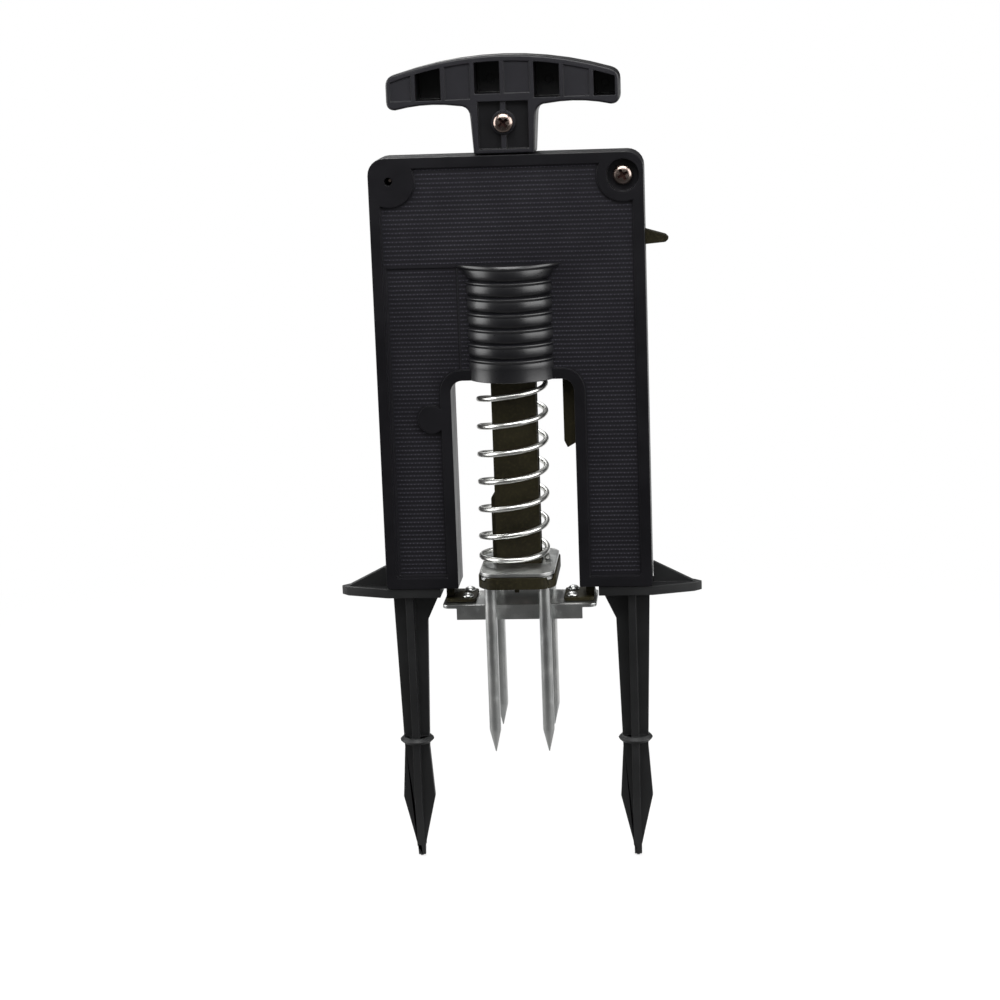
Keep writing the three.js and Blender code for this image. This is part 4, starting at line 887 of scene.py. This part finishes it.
@dataclass
class PanelRelief(Assembly):
    """The moulded texture of the sunk panels: low ribs set with pips that are staggered from rib to rib."""

    pitch: float = 1.845 * MM
    pip_pitch: float = 1.57 * MM
    pip_width: float = 1.15 * MM
    pip_tallness: float = 1.15 * MM
    pip_height: float = 0.42 * MM
    stagger: float = 0.5
    rib_width: float = 0.9 * MM
    rib_top_width: float = 0.5 * MM
    rib_height: float = 0.1 * MM
    root: float = 0.2 * MM
    margin: float = 0.45 * MM
    sample: float = 0.3 * MM
    gap_share: float = 1.5
    ray_start: float = 50.0 * MM
    depth_digits: int = 5
    shallow: float = 7.4 * MM
    proud: float = 9.0 * MM
    low: float = 6.0 * MM
    high: float = 186.0 * MM
    reach: float = 56.0 * MM

    def build(self) -> None:
        """Lays the relief on both shells, row by row."""
        for side, name in SIDES:
            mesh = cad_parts[f"{name}_shell"].data
            polygons = [list(polygon.vertices) for polygon in mesh.polygons]
            panels = BVHTree.FromPolygons([vertex.co for vertex in mesh.vertices], polygons)
            relief = Relief(side)
            for row in range(math.ceil(self.low / self.pitch), math.floor(self.high / self.pitch) + 1):
                z = row * self.pitch
                for left, right, depth in self._stretches(panels, side, z):
                    if right - left >= self.pip_width:
                        self._lay(relief, left, right, z, depth, self.stagger * (row % 2))
            piece = piece_from(f"panel_relief_{name}", relief.corners, relief.faces)
            piece.data.polygons.foreach_set("material_index", relief.slots)
            # The ribs and pips wear the painted highlight finishes.
            self.wardrobe.settle(piece, (RIB_HIGHLIGHT, PIP_HIGHLIGHT), "shell_plastic", self.body)

    def _stretches(self, panels: BVHTree, side: int, z: float) -> list[tuple[float, float, float]]:
        """Where a row has a whole rib's width of flat panel under it.

        Args:
            panels: the shell's faces.
            side: -1 for the front and 1 for the rear.
            z: the row's height.

        Returns:
            For each stretch its left and right ends, less the margin, and the panel's distance from y = 0.
        """
        half = self.pip_tallness / 2.0
        found: list[tuple[float, float, float]] = []
        for step in range(round(2.0 * self.reach / self.sample) + 1):
            x = step * self.sample - self.reach
            depths = {self._depth(panels, side, x, z + shift) for shift in (-half, 0.0, half)}
            depth = depths.pop() if len(depths) == 1 else 0.0
            if not self.shallow < depth < self.proud:
                continue
            if found and found[-1][2] == depth and x - found[-1][1] < self.gap_share * self.sample:
                found[-1] = (found[-1][0], x, depth)
            else:
                found.append((x, x, depth))
        return [(start + self.margin, end - self.margin, depth) for start, end, depth in found]

    def _depth(self, panels: BVHTree, side: int, x: float, z: float) -> float:
        """How far the shell's outside is from the middle plane at a point, to depth_digits decimals."""
        hit, *_ = panels.ray_cast(Vector((x, side * self.ray_start, z)), Vector((0.0, -side, 0.0)))
        return round(side * hit.y, self.depth_digits) if hit else 0.0

    def _lay(self, relief: Relief, left: float, right: float, z: float, depth: float, shift: float) -> None:
        """Adds one low rib, narrower at its top, and its pips, each a small pyramid.

        Args:
            relief: what they are added to.
            left: the rib's left end.
            right: the rib's right end.
            z: the height of its middle.
            depth: the panel's distance from the middle plane.
            shift: how far the pips are shifted along the rib, as a share of their pitch.
        """
        root, peak, corners = depth - self.root, depth + self.pip_height, []
        for y, width in ((root, self.rib_width), (depth + self.rib_height, self.rib_top_width)):
            low, high = z - width / 2.0, z + width / 2.0
            corners += [(left, y, low), (right, y, low), (right, y, high), (left, y, high)]
        relief.add(corners, BLOCK_FACES, [0] * len(BLOCK_FACES))
        half, rise = self.pip_width / 2.0, self.pip_tallness / 2.0
        start = math.ceil((left + half) / self.pip_pitch - shift)
        end = math.floor((right - half) / self.pip_pitch - shift)
        for number in range(start, end + 1):
            x = (number + shift) * self.pip_pitch
            foot = [(x - half, root, z), (x, root, z - rise), (x + half, root, z), (x, root, z + rise)]
            # The pip's base face takes slot 0 and its sides slot 1, the brighter painted highlight.
            relief.add([*foot, (x, peak, z)], PYRAMID_FACES, [0, 1, 1, 1, 1])


@dataclass
class MainSpring(Assembly):
    """The compression spring, a smooth right-handed helix with closed ends."""

    coil_radius: float = 14.2 * MM
    wire_radius: float = 1.15 * MM
    low: float = 14.1 * MM
    high: float = 137.9 * MM
    turns: float = 11.5
    closed_turns: float = 0.75
    ramp_turns: float = 0.25
    closed_pitch: float = 2.9 * MM
    lean: float = 0.0178
    travel: float = 68.0 * MM
    steps_per_turn: int = 48
    wire_sides: int = 14

    def path(self) -> list[Vector]:
        """The centre line of the wire, from the foot upwards: the coil leans a little on the plunger."""
        steps = round(self.turns * self.steps_per_turn)
        openness = []
        for step in range(steps):
            turn = (step + 0.5) / self.steps_per_turn
            share = (min(turn, self.turns - turn) - self.closed_turns) / self.ramp_turns
            share = min(max(share, 0.0), 1.0)
            openness.append(share * share * (3.0 - 2.0 * share))
        closed = self.closed_pitch / self.steps_per_turn
        low, high = self.low + self.wire_radius, self.high - self.wire_radius
        extra = (high - low - closed * steps) / sum(openness)
        points, height = [], low
        for step in range(steps + 1):
            across, along = polar(self.coil_radius, 2.0 * math.pi * step / self.steps_per_turn)
            points.append(Vector((across - self.lean * (self.high - height), along, height)))
            if step < steps:
                height += closed + extra * openness[step]
        return points

    def build(self) -> None:
        """Makes the spring, fixed to its body, with a mesh of its own."""
        spring = wire_along("main_spring_detail", self.path(), self.wire_radius, self.wire_sides)
        self.wardrobe.settle(spring, SPRING, "spring_steel", self.body, "main_spring")
        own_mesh(spring)


@dataclass
class Drive(Assembly):
    """The T-handle, the plunger bar, and the carrier with its plate, tines and screws."""

    body: Body = Body.PLUNGER
    nodes: Nodes = (
        ("t_handle", HANDLE, 0.28 * MM),
        ("plunger_bar", MECHANISM, 0.3 * MM),
        ("tine_carrier", MECHANISM, 0.22 * MM),
        ("spring_foot_plate", ZINC, 0.15 * MM),
    )
    screws: Screws = (("handle_screw", Facing.FRONT, 38.0), ("carrier_screw", Facing.DOWN, 20.0))
    edge: float = 0.15 * MM
    pin_radius: float = 2.1 * MM
    pin_height: float = 0.45 * MM
    pin_root: float = 0.2 * MM
    rim_width: float = 0.5 * MM
    dish_inset: float = 0.7 * MM
    dish_depth: float = 0.2 * MM
    middle_depth: float = 0.25 * MM
    pin_sides: int = 28
    pocket_floor: float = 6.2 * MM
    pocket_marks: tuple[Pair, ...] = ((-6.1, 218.6), (18.3, 217.6), (41.6, 215.6))
    tine_radius: float = 2.5 * MM
    tine_head: float = 1.3 * MM
    point_length: float = 10.0 * MM
    tip_radius: float = 0.22 * MM
    tip_length: float = 0.15 * MM
    shoulder_inset: float = 0.12 * MM
    shoulder_low: float = 0.5 * MM
    shoulder_high: float = 0.3 * MM
    tine_sides: int = 40

    def build(self) -> None:
        """Dresses everything that slides up and down, then makes the screws, marks and tines."""
        super().build()
        self.fasten()
        for number, (x, z) in enumerate(self.pocket_marks, 1):
            self._pocket_mark(f"pocket_mark_{number}", x * MM, z * MM)
        for corner in ("front_left", "front_right", "rear_left", "rear_right"):
            self._tine(f"tine_{corner}")

    def _pocket_mark(self, name: str, x: float, z: float) -> None:
        """The round mark that an ejector pin leaves on the floor of a handle pocket.

        Args:
            name: the mark's name.
            x: how far its middle is to the right.
            z: how high its middle is.
        """
        edge, radius, top = self.edge / 2.0, self.pin_radius, self.pin_height
        profile: Outline = [
            (0.0, -self.pin_root),
            (radius, -self.pin_root),
            (radius, top - edge),
            (radius - edge, top),
            (radius - self.rim_width, top),
            (radius - self.dish_inset, top - self.dish_depth),
            (0.0, top - self.middle_depth),
        ]
        mark = turned(name, profile, self.pin_sides)
        place = Matrix.Translation((x, self.pocket_floor, z))
        mark.data.transform(place @ Matrix.Rotation(QUARTER_TURN, 4, "X"))
        self.wardrobe.settle(mark, HANDLE, "shell_plastic", self.body)

    def _tine(self, node: str) -> None:
        """A round tine with a flat head and a ground point, where its CAD node is.

        Args:
            node: the CAD tine's name.
        """
        low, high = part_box(node)
        head_radius, head_low = (high.x - low.x) / 2.0, high.z - self.tine_head
        radius, edge, shoulder = self.tine_radius, self.edge, low.z + self.point_length
        profile: Outline = [
            (0.0, low.z),
            (self.tip_radius, low.z + self.tip_length),
            (radius - self.shoulder_inset, shoulder - self.shoulder_low),
            (radius, shoulder + self.shoulder_high),
            (radius, head_low - edge),
            (radius + edge, head_low),
            (head_radius - edge, head_low),
            (head_radius, head_low + edge),
            (head_radius, high.z - 2.0 * edge),
            (head_radius - 2.0 * edge, high.z),
            (0.0, high.z),
        ]
        tine = turned(node + "_detail", profile, self.tine_sides)
        tine.data.transform(to_middle(low, high))
        self.wardrobe.settle(tine, ZINC, "zinc_steel", self.body, node)


@dataclass
class Trip(Assembly):
    """The trip lever, its pin and its torsion spring."""

    body: Body = Body.TRIP
    nodes: Nodes = (("trip_lever", MECHANISM, 0.3 * MM),)
    pivot_x: float = 26.5 * MM
    pivot_z: float = 101.2 * MM
    arm_right: float = 26.4 * MM
    spring_start: float = 3.25 * MM
    spring_pitch: float = 1.3 * MM
    spring_turns: int = 2
    coil_radius: float = 2.6 * MM
    wire_radius: float = 0.4 * MM
    short_leg: float = 6.0 * MM
    long_leg: float = 11.0 * MM
    leg_gap: float = 0.6 * MM
    bow_share: float = 0.3
    steps_per_turn: int = 24
    wire_sides: int = 10
    pin_edge: float = 0.2 * MM
    pin_sides: int = 32

    def build(self) -> None:
        """Dresses the lever and replaces its spring and pin with round ones."""
        super().build()
        spring = wire_along("lever_spring_detail", self.spring_path(), self.wire_radius, self.wire_sides)
        self.wardrobe.settle(spring, SPRING, "spring_steel", self.body, "lever_spring")
        self._pin()

    def spring_path(self) -> list[Vector]:
        """The centre line of the torsion spring: short leg, coil, long leg and hook."""
        cx, cz, steps = self.pivot_x, self.pivot_z, self.steps_per_turn
        rise = self.spring_pitch / steps
        top = self.spring_start + rise * steps * self.spring_turns
        path = [Vector((cx + self.short_leg, top, cz + self.coil_radius))]
        for step in range(steps * self.spring_turns - steps // 4 + 1):
            right, up = polar(self.coil_radius, math.pi / 2.0 + 2.0 * math.pi * step / steps)
            path.append(Vector((cx + right, top - rise * step, cz + up)))
        low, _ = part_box("lever_spring")
        x, y = self.arm_right + self.leg_gap + self.wire_radius / 2.0, self.spring_start
        path.append(Vector((x + self.bow_share * self.coil_radius, y, cz + self.long_leg / 2.0)))
        path.append(Vector((x, y, cz + self.long_leg)))
        hook = max(low.y + self.wire_radius, 0.0)
        path.append(Vector((x, hook, cz + self.long_leg + self.wire_radius)))
        return path

    def _pin(self) -> None:
        """The round pivot pin, where its CAD node is."""
        low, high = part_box("lever_pin")
        radius, edge = (high.x - low.x) / 2.0, self.pin_edge
        profile: Outline = [(0.0, low.y), (radius - edge, low.y), (radius, low.y + edge)]
        profile += [(radius, high.y - edge), (radius - edge, high.y), (0.0, high.y)]
        pin = turned("lever_pin_detail", profile, self.pin_sides)
        place = Matrix.Translation(((low.x + high.x) / 2.0, 0.0, (low.z + high.z) / 2.0))
        pin.data.transform(place @ Matrix.Rotation(-QUARTER_TURN, 4, "X"))
        self.wardrobe.settle(pin, ZINC, "zinc_steel", Body.FRAME, "lever_pin")


@dataclass
class Trigger(Assembly):
    """The pan with its guide strut, its riser and its rivets, which have a dome at each end."""

    body: Body = Body.TRIGGER
    nodes: Nodes = (
        ("trigger_pan", ZINC, 0.25 * MM),
        ("guide_strut", MECHANISM, 0.25 * MM),
        ("trigger_riser", MECHANISM, 0.25 * MM),
    )
    shank_radius: float = 1.3 * MM
    head_height: float = 1.5 * MM
    edge: float = 0.1 * MM
    dome_steps: int = 7
    sides: int = 32

    def build(self) -> None:
        """Dresses the pan and its struts, and makes the rivets."""
        super().build()
        for corner in ("left_front", "left_rear", "right_front", "right_rear"):
            self._rivet(f"pan_rivet_{corner}")

    def _rivet(self, node: str) -> None:
        """Puts a round rivet where a CAD rivet is.

        Args:
            node: the CAD rivet's name.
        """
        low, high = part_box(node)
        radius = (high.x - low.x) / 2.0
        profile: Outline = []
        for step in range(self.dome_steps + 1):
            angle = 0.5 * math.pi * step / self.dome_steps
            profile.append((radius * math.sin(angle), low.z + self.head_height * (1.0 - math.cos(angle))))
        upper = [(reach, low.z + high.z - height) for reach, height in reversed(profile)]
        shank = [(self.shank_radius, z) for z in (profile[-1][1] + self.edge, upper[0][1] - self.edge)]
        rivet = turned(node + "_detail", [*profile, *shank, *upper], self.sides)
        rivet.data.transform(to_middle(low, high))
        self.wardrobe.settle(rivet, ZINC, "zinc_steel", self.body, node)


@dataclass
class Stakes(Assembly):
    """The two stakes."""

    nodes: Nodes = (("left_stake", STAKE, 0.3 * MM), ("right_stake", STAKE, 0.3 * MM))


def light_paths(graph: Graph) -> tuple[Wire, Wire]:
    """Which rays see a surface.

    Args:
        graph: the tree of the surface's material or of the world.

    Returns:
        1 for the camera's own rays, and 1 for rays that come off or through something shiny.
    """
    node = graph.add("ShaderNodeLightPath")
    kinds = ("Camera", "Glossy", "Transmission")
    camera, glossy, through = (Wire(graph, node.outputs[f"Is {kind} Ray"]) for kind in kinds)
    return camera, glossy.most(through)


@dataclass
class Softbox:
    """A rectangular lamp that looks at the trap."""

    name: str
    place: Point
    width: float
    height: float
    power: float
    aim: Point = (0.0, 0.0, 0.06)

    def build(self) -> None:
        """Hangs the lamp and turns it to its aim."""
        lamp = bpy.data.lights.new(self.name, "AREA")
        size = {"shape": "RECTANGLE", "size": self.width, "size_y": self.height}
        set_all(lamp, {**size, "energy": self.power})
        light = bpy.data.objects.new(self.name, lamp)
        light.location = self.place
        towards = Vector(self.aim) - Vector(self.place)
        light.rotation_euler = towards.to_track_quat("-Z", "Y").to_euler()
        bpy.context.scene.collection.objects.link(light)


@dataclass
class Studio:
    """The pale floor, the white surroundings, the softboxes and the camera."""

    floor_level: float = -120.4 * MM
    floor_radius: float = 8.0
    floor_sides: int = 64
    floor_deep: Colour = (0.86, 0.86, 0.85)
    floor_light: Colour = (0.9, 0.9, 0.89)
    floor_drift: float = 0.4
    floor_roughness: float = 0.85
    floor_in_diffuse: float = 0.15
    floor_in_mirrors: float = 0.8
    floor_mirror_range: Pair = (-0.3, 0.3)
    floor_front_range: Pair = (0.4, 2.5)
    shadow_fade: Pair = (0.2, 0.6)
    near_glow: float = 0.6
    unseen_glow: float = 0.95
    front_in_mirrors: float = 0.09
    low_behind_in_mirrors: float = 0.04
    high_behind_in_mirrors: float = 0.35
    right_in_mirrors: float = 0.5
    behind_range: Pair = (-0.3, 0.5)
    high_range: Pair = (0.3, 0.6)
    right_range: Pair = (0.6, 0.95)
    world_in_diffuse: float = 0.4
    azimuth: float = 5.235
    elevation: float = 12.406
    roll: float = -2.086
    distance: float = 1.0
    target: Point = (-7.7 * MM, 0.0, 40.7 * MM)
    lens: float = 83.95
    sensor_width: float = 36.0
    clip_range: Pair = (0.01, 50.0)
    softboxes: tuple[Softbox, ...] = (
        Softbox("left_softbox", (-0.93, -0.16, 0.3), 0.8, 0.9, 8.5),
        Softbox("right_softbox", (1.0, -0.36, 0.38), 1.5, 0.9, 13.5),
        Softbox("front_softbox", (0.0, -0.3, 0.5), 0.42, 0.25, 2.1),
        Softbox("rear_softbox", (-0.4, 0.9, 1.1), 0.8, 0.6, 8.0),
    )

    def build(self) -> None:
        """Sets the stage, the lamps, the world and the camera."""
        self._floor()
        self._world()
        for softbox in self.softboxes:
            softbox.build()
        self._camera()
        bpy.context.scene.view_settings.view_transform = "Standard"

    def _floor(self) -> None:
        """A wide pale disc just under the stakes' tips."""
        steps = range(self.floor_sides)
        ring = [polar(self.floor_radius, 2.0 * math.pi * step / self.floor_sides) for step in steps]
        floor = piece_from("studio_floor", [(x, y, self.floor_level) for x, y in ring], [tuple(steps)])
        material = bpy.data.materials.new("pale_floor")
        material.use_nodes = True
        graph = Graph(material.node_tree)
        camera, mirrored = light_paths(graph)
        x, y, _ = graph.parts(graph.coordinates("Object"))
        far = ((x * x + y * y) ** 0.5).eased(*self.shadow_fade)
        front = (0.0 - y).eased(*self.floor_front_range) * self.front_in_mirrors
        mirror = y.eased(*self.floor_mirror_range) * self.floor_in_mirrors + front
        pale = graph.blended(graph.noise(self.floor_drift, FEW_LAYERS), self.floor_deep, self.floor_light)
        sockets = {"Base Color": pale, "Roughness": self.floor_roughness}
        matt = graph.wire("ShaderNodeBsdfPrincipled", None, sockets)
        strength = camera + mirrored * mirror + (1.0 - camera) * (1.0 - mirrored) * self.floor_in_diffuse
        glow = graph.wire("ShaderNodeEmission", None, {"Color": WHITE, "Strength": strength})
        share = camera * (far * (1.0 - self.near_glow) + self.near_glow) + (1.0 - camera) * self.unseen_glow
        mixed = graph.wire("ShaderNodeMixShader", None, {0: share, 1: matt, 2: glow})
        graph.add("ShaderNodeOutputMaterial", None, {"Surface": mixed})
        floor.data.materials.append(material)

    def _world(self) -> None:
        """White where it is seen, dimmer towards the front of the room, and soft as light."""
        world = bpy.data.worlds.new("studio_world")
        bpy.context.scene.world = world
        world.use_nodes = True
        graph = Graph(world.node_tree)
        camera, mirrored = light_paths(graph)
        sideways, forwards, upwards = graph.parts(graph.coordinates("Generated"))
        high = upwards.eased(*self.high_range) * self.high_behind_in_mirrors + self.low_behind_in_mirrors
        behind = forwards.eased(*self.behind_range) * (high - self.front_in_mirrors)
        right = sideways.eased(*self.right_range) * self.right_in_mirrors
        reflected = behind + self.front_in_mirrors + right
        unseen = mirrored * reflected + (1.0 - mirrored) * self.world_in_diffuse
        strength = camera + (1.0 - camera) * unseen
        glow = graph.wire("ShaderNodeBackground", None, {"Color": WHITE, "Strength": strength})
        graph.add("ShaderNodeOutputWorld", None, {"Surface": glow})

    def _camera(self) -> None:
        """The camera at the photograph's angle, leaning as the object leans in it."""
        turn, lift, lean = (math.radians(angle) for angle in (self.azimuth, self.elevation, self.roll))
        back = Vector((math.sin(turn) * math.cos(lift), -math.cos(turn) * math.cos(lift), math.sin(lift)))
        level = Vector((math.cos(turn), math.sin(turn), 0.0))
        upright = back.cross(level)
        right = level * math.cos(lean) + upright * math.sin(lean)
        up = upright * math.cos(lean) - level * math.sin(lean)
        data = bpy.data.cameras.new("camera")
        data.lens, data.sensor_width = self.lens, self.sensor_width
        data.clip_start, data.clip_end = self.clip_range
        camera = bpy.data.objects.new("camera", data)
        place = Vector(self.target) + back * self.distance
        camera.matrix_world = Matrix.Translation(place) @ Matrix((right, up, back)).transposed().to_4x4()
        bpy.context.scene.collection.objects.link(camera)
        bpy.context.scene.camera = camera


def main() -> None:
    """Builds every sub-assembly in order."""
    logging.basicConfig(level=logging.INFO, format="%(message)s")
    wardrobe = Wardrobe()
    for assembly in (Housing, PanelRelief, MainSpring, Drive, Trip, Trigger, Stakes):
        assembly(wardrobe).build()
        log.info("%s done", assembly.__name__)
    Studio().build()


if __name__ == "__main__":
    main()
